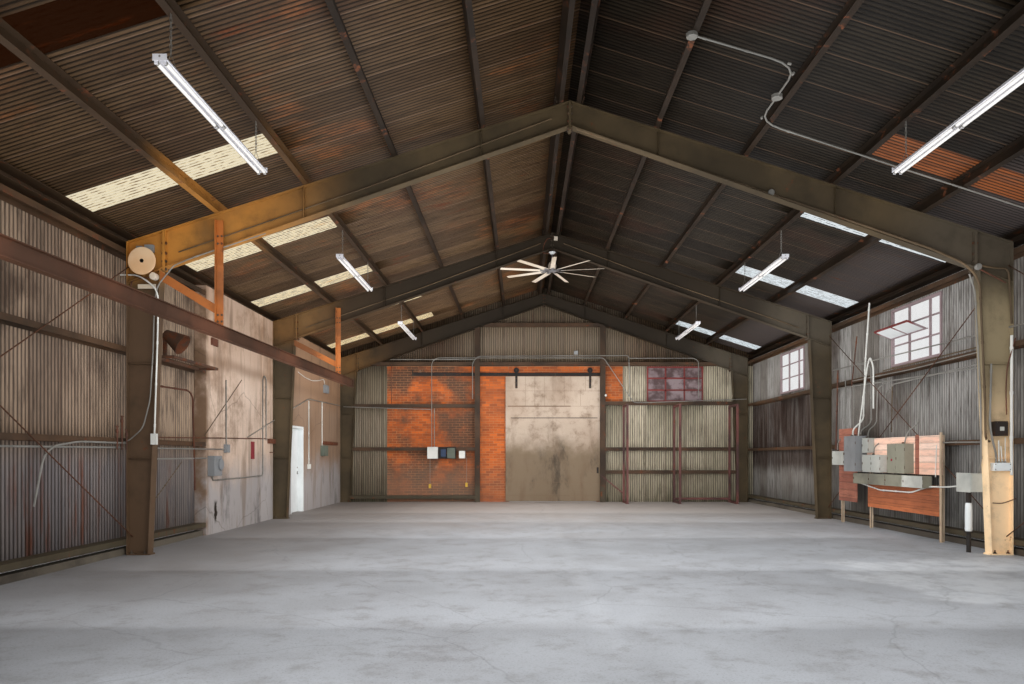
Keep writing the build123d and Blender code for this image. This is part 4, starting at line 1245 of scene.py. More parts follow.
def wall_screws():
    shape = Shape("wall_screws", bolt_steel)
    for side, rows, windows, end in (
        (-1, LEFT_GIRTS, LEFT_WINDOWS, MASONRY_START),
        (1, RIGHT_GIRTS, RIGHT_WINDOWS, GABLE_LINE),
    ):
        for u, row in product(crests(-GABLE_LINE, end), rows):
            if not in_hole(window_holes(windows), u, SLAB + row, FASTENER_MARGIN):
                screw(shape, on_wall(side), u, SLAB + row, (side, 0, 0))
    shape.finish("wall_sheet")


def gable_screws():
    shape = Shape("gable_screws", bolt_steel)
    for facing, rows, left, right in (
        (1, REAR_GIRTS, BRICK_LEFT, BRICK_RIGHT),
        (-1, FRONT_GIRTS, -FRONT_DOOR, FRONT_DOOR),
    ):
        for u in crests(-WALL_LINE, WALL_LINE):
            for row in (*rows, GABLE_TOP_GIRT):
                if row == GABLE_TOP_GIRT or not left < u < right:
                    screw(shape, on_gable(facing), u, SLAB + row, (0, facing, 0))
    shape.finish("wall_sheet")


# Hardware of the frames: bolts at the splices, the ridge and the feet
FRAME_BOLT = 0.016
PLATE = 0.016
BOLT_OUT = 0.045
SPLICE_BOLTS = (-0.018, 0.09, 0.2, 0.34)
RIDGE_BOLTS = (-0.03, 0.07, 0.18, 0.27)
FOOT_BOLTS = (0.06, 0.24)
FOOT_BOLT_OUT = 0.05
FOOT_PLATE_TOP = SLAB + 0.02


def frame_bolts():
    shape = Shape("frame_bolts", bolt_steel)
    for line, side in product(FRAME_LINES, SIDES):
        for level, off in product(SPLICE_BOLTS, (line - BOLT_OUT, line + BOLT_OUT)):
            z = rafter_bottom(SPLICE) + level
            shape.bolt((side * (SPLICE - PLATE), off, z), (-side, 0, 0), FRAME_BOLT, 0.016)
            shape.bolt((side * (SPLICE + PLATE), off, z), (side, 0, 0), FRAME_BOLT, 0.02)
        for level, off in product(RIDGE_BOLTS, (line - BOLT_OUT, line + BOLT_OUT)):
            shape.bolt((side * PLATE, off, RIDGE_BOTTOM + level), (side, 0, 0), FRAME_BOLT, 0.018)
        for inset, off in product(FOOT_BOLTS, (line - FOOT_BOLT_OUT, line + FOOT_BOLT_OUT)):
            x = side * (HALF_WIDTH - inset)
            shape.bolt((x, off, FOOT_PLATE_TOP), UP, 0.018, 0.02)
            shape.upright(x, off, FOOT_PLATE_TOP, FOOT_PLATE_TOP + 0.045, 0.009)
    shape.finish("frame_paint")


CLEAT = 0.008
CLEAT_HALF = 0.06
CLEAT_HEIGHT = 0.15
CLEAT_FOOT = 0.07


def purlin_cleats():
    shape = Shape("purlin_cleats", purlin_paint, bolt_steel)
    for side, line, purlin in product(SIDES, FRAME_LINES, PURLIN_LINES):
        shape.place = roof_place(side, purlin, line)
        shape.paint = 0
        shape.box((0, -CLEAT_HALF, 0), (CLEAT, CLEAT_HALF, CLEAT_HEIGHT))
        shape.box((0, -CLEAT_HALF, 0), (CLEAT_FOOT, CLEAT_HALF, CLEAT))
        shape.paint = 1
        for level, off in product((0.06, 0.12), (0.03, -0.03)):
            shape.bolt((CLEAT, off, level), (1, 0, 0))
    shape.finish("purlin_steel", bevel=0.001)


RIB = 0.008
RIB_REACH = 0.07
RIB_PLACES = PURLIN_LINES[1::2]
RIB_HEIGHTS = (1.45, 2.75)
COLUMN_HEIGHT = 3.94
COLUMN_FOOT_FACE = 5.799
COLUMN_HEAD_FACE = 5.63
FLANGE_SKIN = 0.012
WEB = 0.004


def web_stiffeners():
    """Stiffener plates of the rafters' and columns' webs."""
    shape = Shape("web_stiffeners", frame_paint)
    for line, side, face in product(FRAME_LINES, SIDES, SIDES):
        web = line + face * WEB
        outer = line + face * RIB_REACH
        for x in RIB_PLACES:
            low = (side * x, web, rafter_bottom(x) + FLANGE_SKIN)
            shape.box(low, (side * (x + RIB), outer, roof_line(x) - 0.014))
        for height in RIB_HEIGHTS:
            lean = (COLUMN_FOOT_FACE - COLUMN_HEAD_FACE) * (height - SLAB) / COLUMN_HEIGHT
            inner = COLUMN_FOOT_FACE - lean + FLANGE_SKIN
            top = (side * (HALF_WIDTH - FLANGE_SKIN), outer, height + RIB)
            shape.box((side * inner, web, height), top)
    shape.finish("frame_paint", bevel=0.0015)


roof_screws()
wall_screws()
gable_screws()
frame_bolts()
purlin_cleats()
web_stiffeners()

# Strip lights: enamelled housing, lamp holders, tubes, end caps and chains
LIGHT_OFFSET = PURLIN_LINES[3] - 0.033
LIGHT_LOW = SLAB + 4.6
LIGHT_HALF = 1.22
TUBE_RADIUS = 0.018
TUBE_OFFSET = 0.035
TUBE_AXIS = LIGHT_LOW - TUBE_RADIUS / 2
TUBE_SIDES = 12
CAP_HALF = 0.059
LINK = 0.034
LINK_HALF = 0.008
WIRE = 0.0028
HOUSING = (
    (-0.058, 0.006), (-0.03, 0.05), (0.03, 0.05), (0.058, 0.006),
    (0.05, 0.002), (0.016, 0.02), (-0.016, 0.02), (-0.05, 0.002),
)
ENAMEL, TUBE, METAL = range(3)
lights = Shape("strip_light_fixtures", enamel, tube_glass, conduit_steel)


def light_end(x, cap, end):
    """Cap of the housing with its knock-out."""
    low, high = LIGHT_LOW - 0.004, LIGHT_LOW + 0.052
    lights.box((x - CAP_HALF, cap, low), (x + CAP_HALF, cap - end * 0.004, high))
    lights.paint = METAL
    z = LIGHT_LOW + 0.033
    lights.rod((x, cap + end * 0.0005, z), (x, cap - end * 0.003, z), 0.009)
    lights.paint = ENAMEL


def light_tube(x, middle, half_run):
    """One of the two tubes in a row, with its metal caps and lamp holders."""
    near = middle + half_run * 0.02
    far = middle + half_run * (LIGHT_HALF - 0.03)
    lights.paint = TUBE
    lights.rod((x, near, TUBE_AXIS), (x, far, TUBE_AXIS), TUBE_RADIUS, TUBE_SIDES)
    lights.paint = METAL
    for cap in (near, far):
        ends = [(x, cap + off, TUBE_AXIS) for off in (-0.012, 0.012)]
        lights.rod(*ends, TUBE_RADIUS * 1.04, TUBE_SIDES)
    lights.paint = ENAMEL
    for holder in (near - half_run * 0.016, far + half_run * 0.016):
        low = (x - 0.013, holder - 0.006, LIGHT_LOW - TUBE_RADIUS * 1.5)
        lights.box(low, (x + 0.013, holder + 0.006, LIGHT_LOW + 0.022))


def light_chain(x, y):
    """Wire fork on the housing and a chain whose links turn by a quarter up to the purlin."""
    fork = LIGHT_LOW + 0.16
    rise = roof_line(LIGHT_OFFSET) - fork
    for edge in (-0.045, 0.045):
        lights.rod((x + edge, y, LIGHT_LOW + 0.03), (x, y, fork), 0.0025, 5)
    count = math.floor(rise / LINK)
    for link in range(count):
        low = fork + rise * link / count
        high = fork + rise * (link + 1) / count + 0.006
        wide, deep = (LINK_HALF, 0) if link % 2 else (0, LINK_HALF)
        for turn in SIDES:
            lights.upright(x + turn * wide, y + turn * deep, low, high, WIRE, 4)
        lights.rod((x - wide, y - deep, low), (x + wide, y + deep, low), WIRE, 4)


for side, bay in product(SIDES, range(3)):
    middle = FRAME_LINES[bay] + BAY / 2
    x = side * LIGHT_OFFSET
    outline = [(x + u, middle - LIGHT_HALF + 0.004, LIGHT_LOW + v) for u, v in HOUSING]
    lights.paint = ENAMEL
    lights.prism(outline, (0, 2 * LIGHT_HALF - 0.008, 0))
    for end in SIDES:
        light_end(x, middle + end * LIGHT_HALF, end)
    for off, half_run in product((-TUBE_OFFSET, TUBE_OFFSET), SIDES):
        light_tube(x + off, middle, half_run)
    lights.paint = METAL
    for end in SIDES:
        light_chain(x, middle + end * (LIGHT_HALF - 0.2))
lights.finish("light_enamel", replaces=("strip_lights",))

# Ceiling fan
FAN_Y = FRAME_LINES[2]
FAN_HUB = RIDGE_BOTTOM - 0.48
CANOPY_TOP = RIDGE_BOTTOM - 0.06
MOTOR_LOW = FAN_HUB + 0.0203
MOTOR_RIBS = 14
MOTOR_RADIUS = 0.0885
MOTOR = (
    (0.0, 0.05), (0.0, 0.072), (0.018, 0.086), (0.05, 0.09), (0.1, 0.09),
    (0.135, 0.082), (0.16, 0.06), (0.178, 0.03), (0.18, 0.018),
)
DOWN_ROD = ((0.17, 0.022), (0.2, 0.022), (0.205, 0.016), (0.36, 0.016))
CANOPY = ((0.0, 0.03), (-0.008, 0.074), (-0.02, 0.075), (-0.045, 0.05), (-0.06, 0.026))
BLADE_COUNT = 9
BLADE_PITCH = math.radians(10)
BLADE_SECTION = (
    (-0.05, 0), (-0.045, 0.003), (-0.015, 0.008), (0.02, 0.006), (0.05, 0.001), (0.0, 0.0005),
)
BLADE_ROOT = 0.2
BLADE_LENGTH = 0.94
HUB = ((-0.02, 0.03), (-0.02, 0.078), (-0.012, 0.095), (0.012, 0.095), (0.02, 0.085), (0.02, 0.03))


def plate_section(half, low, high):
    return ((-half, low), (half, low), (half, high), (-half, high))


def fan_motor():
    """Motor with its cooling ribs, the rod and the canopy at the rafter."""
    shape = Shape("fan_motor", fan_tan, fan_metal, white_paint)
    shape.turned(MOTOR, (0, FAN_Y, MOTOR_LOW), UP, 28)
    shape.paint = 1
    for rib in range(MOTOR_RIBS):
        turn = 2 * math.pi * rib / MOTOR_RIBS
        x = MOTOR_RADIUS * math.cos(turn)
        y = FAN_Y + MOTOR_RADIUS * math.sin(turn)
        shape.upright(x, y, MOTOR_LOW + 0.03, MOTOR_LOW + 0.12, 0.004, 5)
    shape.turned(DOWN_ROD, (0, FAN_Y, MOTOR_LOW), UP, 14)
    shape.paint = 2
    shape.turned(CANOPY, (0, FAN_Y, CANOPY_TOP), UP, 24)
    shape.finish("fan_body", replaces=("fan_mount",), corner=50)


def fan_blades():
    """Nine tilted blades, each on a two-part iron with four bolts, and the hub."""
    shape = Shape("fan_blade_set", fan_tan, fan_metal)
    hub = Vector((0, FAN_Y, FAN_HUB))
    up = Vector(UP)
    for blade in range(BLADE_COUNT):
        turn = math.radians(270 + 360 / BLADE_COUNT * blade)
        out = Vector((math.cos(turn), math.sin(turn), 0))
        across = Vector((-math.sin(turn), math.cos(turn), 0))
        tilted = across * math.cos(BLADE_PITCH) + Vector((0, 0, math.sin(BLADE_PITCH)))
        lift = out.cross(tilted)
        shape.paint = 0
        root = hub + out * BLADE_ROOT
        section = [root + tilted * u + lift * (v - 0.003) for u, v in BLADE_SECTION]
        shape.prism(section, out * BLADE_LENGTH)
        shape.paint = 1
        root = hub + out * 0.06
        arm = [root + across * u + up * v for u, v in plate_section(0.02, -0.004, 0.002)]
        shape.prism(arm, out * 0.1)
        root = hub + out * 0.15
        grip = [root + tilted * u + lift * v for u, v in plate_section(0.03, -0.009, -0.003)]
        shape.prism(grip, out * 0.12)
        for along, u in product((0.215, 0.25), (-0.018, 0.018)):
            shape.bolt(hub + out * along + tilted * u - lift * 0.009, -lift, 0.005, 0.004)
    shape.turned(HUB, hub, UP, 28)
    shape.finish("fan_blades", body="fan_rotor", replaces=("fan_rotor",), corner=40)


fan_motor()
fan_blades()

# Pipes: the points lie on the faces that carry them
PIPE = 0.012
PIPE_SIDES = 8
WALL_PIPE = MASONRY_FACE - 0.002
GABLE_PIPE = 9.066
GREY, WHITE, RUSTY, DULL = range(4)
PIPE_PAINTS = (conduit_steel, white_pipe, rusty_pipe, roof_pipe)
TAG = len(PIPE_PAINTS)


def pipe_set(name, place, runs, *more_paints):
    """Pipes of (paint, radius, points); place turns a point and the radius into x, y and z."""
    shape = Shape(name, *PIPE_PAINTS, *more_paints)
    for paint, radius, points in runs:
        shape.paint = paint
        shape.tube([place(radius, *point) for point in points], radius, PIPE_SIDES)
    return shape


def left_pipe_place(radius, y, z, off=0):
    return (radius + off - WALL_PIPE, y, z)


def right_pipe_place(radius, y, z, off=0):
    return (WALL_PIPE - radius - off, y, z)


def gable_pipe_place(radius, x, z):
    return (x, GABLE_PIPE - radius, z)


LEFT_RUNS = (
    (GREY, PIPE, ((-9.0, 1.56), (-3.24, 1.6))),
    (GREY, PIPE, ((-3.0, 1.52), (-2.44, 1.60), (0.37, 1.61))),
    (GREY, PIPE, ((2.3, 3.08), (2.3, 1.08), (-0.27, 1.06), (-0.27, 1.16))),
    (GREY, PIPE, ((0.34, 2.88), (0.34, 1.62))),
    (GREY, PIPE, ((2.5, 3.1), (2.5, 1.82))),
    (GREY, PIPE, ((2.3, 3.08), (2.4, 3.2), (2.5, 3.1))),
    (WHITE, PIPE, ((5.7, 2.9), (5.7, 1.28))),
    (GREY, PIPE, ((4.21, 2.58), (5.67, 2.94), (9.0, 3.0))),
    (WHITE, PIPE, ((6.97, 2.96), (6.97, 1.78))),
    (GREY, PIPE, ((-2.44, 1.44), (-0.51, 1.45))),
    (GREY, PIPE, (
        (-5.14, 0.92, 0.02), (-4.97, 1.48, 0.02), (-4.78, 1.6, 0.02), (-4.28, 1.66, 0.02),
        (-3.2, 1.66, 0.02),
    )),
    (WHITE, 0.008, ((4.79, 3.53), (5.35, 3.46), (6.0, 3.44), (6.6, 3.5), (7.17, 3.6), (7.3, 3.42))),
    (RUSTY, 0.009, ((-2.39, 1.76), (2.55, 1.86))),
    (DULL, 0.006, ((1.13, 2.96), (-0.6, 1.83))),
    (GREY, 0.009, ((4.21, 2.58), (1.43, 1.86))),
    (RUSTY, 0.014, ((-2.25, 2.53), (-1.22, 2.55), (-1.07, 2.47), (-0.98, 0.92))),
    (DULL, 0.006, ((-1.45, 1.39), (-2.54, 0.71))),
    (RUSTY, 0.009, ((2.75, 1.57), (3.85, 1.57))),
)
RIGHT_RUNS = (
    (GREY, PIPE, (
        (1.63, 3.32), (1.21, 3.29), (1.08, 3.15), (1.08, 2.12), (1.08, 1.98, 0.2),
        (1.08, 1.86, 0.2),
    )),
    (GREY, PIPE, ((2.24, 3.28), (2.22, 1.95), (2.2, 1.78, 0.18), (2.2, 1.56, 0.18))),
    (GREY, PIPE, ((1.87, 2.94), (1.82, 2.44))),
    (GREY, PIPE, ((0.49, 2.85), (0.82, 2.76), (0.86, 2.1), (0.86, 1.98, 0.16), (0.86, 1.8, 0.16))),
    (GREY, PIPE, ((0.21, 2.78), (0.5, 2.65), (0.53, 1.8), (0.53, 1.66, 0.2), (0.53, 1.5, 0.2))),
    (GREY, PIPE, ((-0.7, 2.78), (-0.67, 2.05), (-0.6, 1.9, 0.16), (-0.5, 1.68, 0.16))),
    (GREY, PIPE, ((2.86, 3.35), (-9.0, 3.18))),
    (GREY, PIPE, ((2.86, 2.94), (-2.3, 2.79), (-2.96, 2.79))),
    (GREY, PIPE, ((0.25, 2.79), (-2.3, 2.84), (-2.96, 2.84))),
    (GREY, 0.01, ((1.9, 3.02), (-0.4, 2.99), (-2.94, 3.03))),
    (DULL, 0.01, ((0.6, 3.08), (-2.94, 3.1))),
    (DULL, 0.01, ((0.25, 2.76), (0.28, 1.92))),
    (WHITE, 0.013, (
        (1.16, 0.96, 0.16), (0.7, 0.9, 0.15), (0.41, 0.86, 0.14), (-0.7, 0.87, 0.14),
        (-1.28, 0.99, 0.15), (-1.75, 1.0, 0.13), (-2.2, 1.05, 0.05),
    )),
    (WHITE, 0.016, ((1.14, 4.46), (1.32, 3.31), (1.4, 2.2), (1.42, 2.02, 0.2), (1.42, 1.86, 0.2))),
    (WHITE, 0.015, (
        (1.27, 1.86, 0.16), (1.27, 2.05, 0.14), (1.25, 3.2), (1.12, 3.42), (0.98, 3.2), (0.98, 2.4),
    )),
    (WHITE, 0.008, ((-1.45, 1.66, 0.13), (-1.42, 1.15, 0.13))),
    (RUSTY, 0.018, ((2.6, 3.32), (2.7, 1.62))),
    (RUSTY, 0.012, ((1.7, 3.9), (1.95, 2.9))),
    (GREY, PIPE, ((-2.98, 1.68), (-1.66, 1.7), (-1.55, 1.7, 0.12))),
)
pipe_set("left_wall_conduits", left_pipe_place, LEFT_RUNS).finish("rail_steel")
pipe_set("right_wall_conduits", right_pipe_place, RIGHT_RUNS).finish("rail_steel")

GABLE_RUNS = (
    (GREY, PIPE, (
        (-3.36, 1.75), (-3.36, 4.3), (-3.22, 4.43), (1.78, 4.43), (2.67, 3.1), (2.86, 3.09),
        (6.05, 3.2),
    )),
    (GREY, PIPE, ((-3.28, 1.75), (-3.28, 2.92))),
    (GREY, PIPE, ((-2.14, 3.2), (-2.14, 4.3), (-1.98, 4.48), (2.53, 4.5), (2.56, 3.26))),
    (GREY, PIPE, ((2.56, 4.42), (4.49, 4.42), (4.61, 4.33), (4.61, 3.23))),
    (GREY, PIPE, ((-6.0, 2.97), (-3.39, 2.89))),
    (GREY, PIPE, ((-4.6, 4.38), (-2.07, 4.38))),
    (RUSTY, 0.01, ((-4.56, 3.06), (-4.56, 4.25))),
    (RUSTY, 0.006, ((-0.52, 4.18), (1.1, 4.24), (2.3, 4.2))),
)
HANGING_TAGS = ((-3.41, 0.54), (-2.32, 0.58))
gable_pipes = pipe_set("gable_conduits", gable_pipe_place, GABLE_RUNS, tag_paint)
for x, low in HANGING_TAGS:
    gable_pipes.paint = GREY
    y = GABLE_PIPE - 0.005
    gable_pipes.tube([(x, y, 1.45), (x, y, low + 0.1)], 0.005, PIPE_SIDES)
    gable_pipes.paint = TAG
    gable_pipes.box((x - 0.035, GABLE_PIPE - 0.03, low), (x + 0.035, GABLE_PIPE, low + 0.12))
gable_pipes.finish("rail_steel")

# Conduits of the frames: points are (x, distance from the line of the run, z)
NEAR = -0.02 - WEB
FLANGE = 0.076
LINE_1, LINE_2 = FRAME_LINES[1:3]
EDGE_1 = LINE_1 - FLANGE - 0.016
FRAME_RUNS = [
    (RUSTY, 0.008, LINE_2 - 0.02, (
        (-0.052, 5.917), (-0.21, 5.945), (-0.199, 6.02), (-0.164, 6.16), (-0.1, 6.26), (0.06, 6.25),
    )),
    (WHITE, 0.011, EDGE_1, (
        (-6.2, 3.984, 0.062), (-5.96, 3.976, 0.032), (-5.83, 3.906), (-5.69, 3.794), (-5.65, 3.668),
        (-5.655, 3.2), (-5.7, 1.78),
    )),
    (GREY, 0.009, EDGE_1, (
        (-4.2, 4.56, 0.068), (-5.2, 4.197), (-5.44, 4.094), (-5.5, 4.016), (-5.66, 3.82),
        (-5.7, 3.6), (-5.72, 2.9), (-5.76, 2.25), (-5.86, 1.86), (-6.06, 1.68, -0.02),
        (-6.2, 1.66, -0.06),
    )),
    (RUSTY, 0.009, LINE_1 - 0.05, (
        (-6.05, 3.826, 0.02), (-6.04, 3.888), (-5.97, 3.93), (-5.74, 3.944),
    )),
    (DULL, 0.016, EDGE_1, (
        (0.1, 6.0, 0.068), (2.78, 5.1, 0.068), (4.95, 4.33), (5.4, 4.13), (5.56, 3.98),
        (5.625, 3.82), (5.69, 2.3), (5.7, 1.75), (5.76, 1.69, 0.06), (5.95, 1.68, 0.192),
    )),
    (GREY, 0.012, LINE_1, (
        (5.52, 4.0, -0.02), (5.6, 3.76, -0.02), (5.69, 2.25), (5.715, 1.4, 0.03),
        (5.73, 1.24, 0.12),
    )),
    (DULL, 0.014, EDGE_1, ((5.6, 4.1), (5.86, 4.06), (5.98, 4.06), (6.02, 4.0), (6.06, 3.3))),
    (RUSTY, 0.01, EDGE_1, ((5.6, 4.06), (5.98, 3.86))),
    (GREY, 0.013, EDGE_1, (
        (5.78, 2.75), (5.76, 1.92), (5.8, 1.68), (5.86, 1.54, 0.03), (5.865, 1.38, 0.03),
    )),
    (WHITE, 0.009, EDGE_1 + 0.03, ((5.9, 1.7), (5.905, 1.38))),
    (WHITE, 0.008, EDGE_1 + 0.03, ((5.93, 1.62), (5.95, 1.38))),
    (WHITE, 0.006, EDGE_1 + 0.03, ((5.99, 1.74), (5.99, 1.38))),
    (WHITE, 0.019, EDGE_1, ((6.06, 3.14), (6.055, 1.6), (6.065, 1.5, 0.01), (6.065, 1.22, 0.01))),
    (RUSTY, 0.008, EDGE_1, ((6.1, 3.1, -0.02), (6.0, 2.72), (5.98, 2.4), (5.99, 2.05))),
    (RUSTY, 0.007, EDGE_1, ((5.8, 0.84), (5.93, 0.83), (6.12, 0.9))),
]
RAFTER_RUN = ((0.25, 0.2), (2.8, 0.14), (5.4, 0.16))
for side, line in ((-1, LINE_1), (-1, LINE_2), (1, LINE_2)):
    stretch = [(side * x, rafter_bottom(x) + rise) for x, rise in RAFTER_RUN]
    FRAME_RUNS.append((DULL, 0.009, line + NEAR, stretch))
frame_pipes = Shape("frame_conduits", *PIPE_PAINTS, fan_tan, pale_timber)
for paint, radius, line, points in FRAME_RUNS:
    frame_pipes.paint = paint
    frame_pipes.tube([(x, line + sum(off), z) for x, z, *off in points], radius, PIPE_SIDES)

# Conduit under the right roof, its junction boxes and the small boxes of the frames
ROOF_CONDUIT = ((1.16, -5.43), (2.28, -5.47), (2.28, -4.14), (5.7, -4.1))
ROOF_BOXES = ((1.16, -5.43), (2.28, -4.8))
ROOF_BOX = ((0.0, 0.065), (-0.04, 0.065), (-0.046, 0.058), (-0.046, 0.01))
RAFTER_BOXES = ((2.78, LINE_1 + NEAR, 5.12), (5.6, EDGE_1, 4.08))
RAFTER_BOX = ((0.02, 0.045), (-0.02, 0.045), (-0.026, 0.04), (-0.026, 0.008))
KNEE_BOX = ((0.03, 0.05), (-0.05, 0.05), (-0.058, 0.042), (-0.058, 0.01))
GABLE_BELL = ((0.0, 0.014), (-0.01, 0.03), (-0.03, 0.034), (-0.045, 0.02))
frame_pipes.paint = GREY
route = [(x, y, roof_line(x) - 0.02) for x, y in ROOF_CONDUIT]
frame_pipes.tube(route, 0.011, PIPE_SIDES, turn=0.3)
for x, y in ROOF_BOXES:
    frame_pipes.turned(ROOF_BOX, (x, y, roof_line(x) - 0.005), UP, 8)
for spot in RAFTER_BOXES:
    frame_pipes.turned(RAFTER_BOX, spot, BACKWARDS, 14)
frame_pipes.paint = TAG
frame_pipes.turned(KNEE_BOX, (-5.7, EDGE_1, 3.944), BACKWARDS, 16)
frame_pipes.box((0.04, LINE_2 - 0.05, 6.21), (0.12, LINE_2 - WEB, 6.29))
frame_pipes.box((-5.95, LINE_1 - 0.05, 3.79), (-5.7, LINE_1 - 0.044, 3.85))
frame_pipes.paint = WHITE
frame_pipes.box((-5.74, EDGE_1 - 0.03, 1.64), (-5.66, EDGE_1 + 0.014, 1.79))
frame_pipes.turned(GABLE_BELL, (1.84, GABLE_PIPE, 3.31), BACKWARDS, 12)
frame_pipes.finish("rail_steel")

# Sliding door: sheeted leaf, strap hangers, grooved wheels and a flush pull
LEAF_LEFT, LEAF_RIGHT = -1.16, 1.69
LEAF_LOW, LEAF_TOP = SLAB + 0.014, SLAB + 3.78
LEAF_FACE, LEAF_BACK = 9.232, 9.276
LEAF_SKIN = 0.004
LEAF_GAP = 0.003
LEAF_INSET = 0.002
LEAF_BOARDS = 19
STRAP_PLACES = (-0.83, 1.39)
STRAP_HALF = 0.035
STRAP_FACE = LEAF_FACE - 0.006
STRAP_LOW = LEAF_TOP - 0.36
STRAP_BOLTS = (0.04, 0.16, 0.3)
ARC_STEPS = 12
WHEEL_Y, WHEEL_Z = 9.254, SLAB + 3.9653
WHEEL = (
    (-0.0118, 0.012), (-0.0118, 0.08), (-0.0075, 0.082), (-0.0065, 0.0753),
    (0.0065, 0.0753), (0.0075, 0.082), (0.0118, 0.08), (0.0118, 0.012),
)
WHEEL_BOSS = ((-0.02, 0.026), (0.018, 0.026))
LEAF_ROWS = (
    (LEAF_LOW, 0.31, (0.2,)),
    (0.31, 0.71, (-0.3, 1.1)),
    (0.71, 3.0, (0.27,)),
    (3.0, 3.46, (-0.56, -0.28, 0.01, 0.61, 1.1)),
    (3.46, LEAF_TOP, (-0.56, -0.28, 0.01, 0.27, 0.61, 0.81, 1.25)),
)
SHEET, BATTEN, IRON, BOLT = range(4)


def door_hanger(shape, x):
    """Strap with a round head, its wheel on the track, and the bolts."""
    outline = [(x + STRAP_HALF, STRAP_FACE, STRAP_LOW)]
    for step in range(ARC_STEPS + 1):
        turn = math.pi * step / ARC_STEPS
        top = WHEEL_Z + STRAP_HALF * math.sin(turn)
        outline.append((x + STRAP_HALF * math.cos(turn), STRAP_FACE, top))
    outline.append((x - STRAP_HALF, STRAP_FACE, STRAP_LOW))
    shape.prism(outline, (0, LEAF_FACE - STRAP_FACE, 0))
    shape.turned(WHEEL, (x, WHEEL_Y, WHEEL_Z), BACKWARDS, 32)
    shape.turned(WHEEL_BOSS, (x, WHEEL_Y, WHEEL_Z), BACKWARDS, 16)
    shape.paint = BOLT
    shape.rod((x, STRAP_FACE, WHEEL_Z), (x, WHEEL_Y + 0.016, WHEEL_Z), 0.011, 10)
    for z in (*(STRAP_LOW + rise for rise in STRAP_BOLTS), WHEEL_Z):
        shape.bolt((x, STRAP_FACE, z), FORWARDS, 0.013, 0.004)
    shape.paint = IRON


def sliding_door():
    shape = Shape("sliding_door_leaf", door_sheet, door_batten, track_paint, bolt_steel)
    shape.paint = BATTEN
    shape.box(
        (LEAF_LEFT + LEAF_INSET, LEAF_FACE + LEAF_SKIN, LEAF_LOW + LEAF_INSET),
        (LEAF_RIGHT - LEAF_INSET, LEAF_BACK - LEAF_SKIN, LEAF_TOP - LEAF_INSET),
    )
    shape.paint = SHEET
    for low, high, cuts in LEAF_ROWS:
        edges = (LEAF_LEFT, *cuts, LEAF_RIGHT)
        for left, right in zip(edges, edges[1:]):
            corner = (left + LEAF_GAP, LEAF_FACE + draw.uniform(0, 0.0015), low + LEAF_GAP)
            shape.box(corner, (right - LEAF_GAP, LEAF_FACE + LEAF_SKIN, high - LEAF_GAP))
    for left, right in steps(LEAF_LEFT, LEAF_RIGHT, LEAF_BOARDS):
        corner = (left + LEAF_GAP, LEAF_BACK - LEAF_SKIN, LEAF_LOW)
        shape.box(corner, (right - LEAF_GAP, LEAF_BACK, LEAF_TOP))
    shape.paint = BATTEN
    shape.box((-1.09, LEAF_FACE - 0.003, 2.985), (0.8, LEAF_FACE, 3.015))
    shape.paint = IRON
    shape.box((-0.99, LEAF_FACE - 0.004, 2.636), (1.61, LEAF_FACE, 2.656))
    shape.box((1.585, LEAF_FACE - 0.002, 0.98), (1.645, LEAF_FACE, 1.16))
    for x in STRAP_PLACES:
        door_hanger(shape, x)
    shape.finish("door_panel", body="sliding_door", replaces=("sliding_door",), bevel=0.0008)


TRACK_FACE = 9.248
TRACK_START = -3.95
TRACK_BRACKETS = 5
TRACK_BRACKET_RUN = 5.78 - 0.06
TRACK_LOW = SLAB + 3.79


def track_bolts():
    """Bolts of the track's brackets and the stops at its two ends."""
    shape = Shape("track_bolts", bolt_steel, track_paint)
    for number, level in product(range(TRACK_BRACKETS), (0.03, 0.07)):
        x = TRACK_START + TRACK_BRACKET_RUN * number / (TRACK_BRACKETS - 1)
        shape.bolt((x, TRACK_FACE, TRACK_LOW + level), FORWARDS, 0.01, 0.008)
    shape.paint = 1
    for x in (-3.97, 1.775):
        shape.box((x, TRACK_FACE - 0.012, 4.0), (x + 0.02, TRACK_FACE + 0.024, 4.1))
    shape.finish("rail_steel")


KNOB = (-6.216, 5.161, SLAB + 0.96)
KNOB_ROSE = ((0.0, 0.036), (0.005, 0.036), (0.008, 0.03), (0.008, 0.02))
LOCK_ROSE = ((0.0, 0.018), (0.006, 0.017), (0.008, 0.012))


def man_door_lock():
    """Rose of the knob, the lock over it, and the plate at the leaf's edge."""
    shape = Shape("man_door_lock", bolt_steel, track_paint)
    x, y, z = KNOB
    shape.turned(KNOB_ROSE, KNOB, (1, 0, 0), 24)
    shape.turned(LOCK_ROSE, (x, y, z + 0.13), (1, 0, 0), 16)
    shape.paint = 1
    shape.box((x, y + 0.055, z - 0.03), (x + 0.0015, y + 0.068, z + 0.03))
    shape.finish("white_door", body="man_door")


sliding_door()
track_bolts()
man_door_lock()

# Electrical boards of planks, their posts and boxes
BOARD_FACE, BOARD_BACK = 5.967, 5.985
PLANK_GAP = 0.003
POST_BACK = 6.035
POST_HALF = 0.0225
RED, ORANGE, DARK, TIMBER, NAIL = range(5)
PLANKS = (
    (RED, (-1.58, SLAB + 1.06), (1.45, SLAB + 1.7), 6),
    (DARK, (1.45, SLAB + 0.45), (2.28, SLAB + 1.93), 12),
    (ORANGE, (-1.5, SLAB + 0.4), (0.97, SLAB + 0.89), 4),
)
BOARD_POSTS = ((-1.52, 1.7), (0.91, 1.7), (2.19, 1.93))


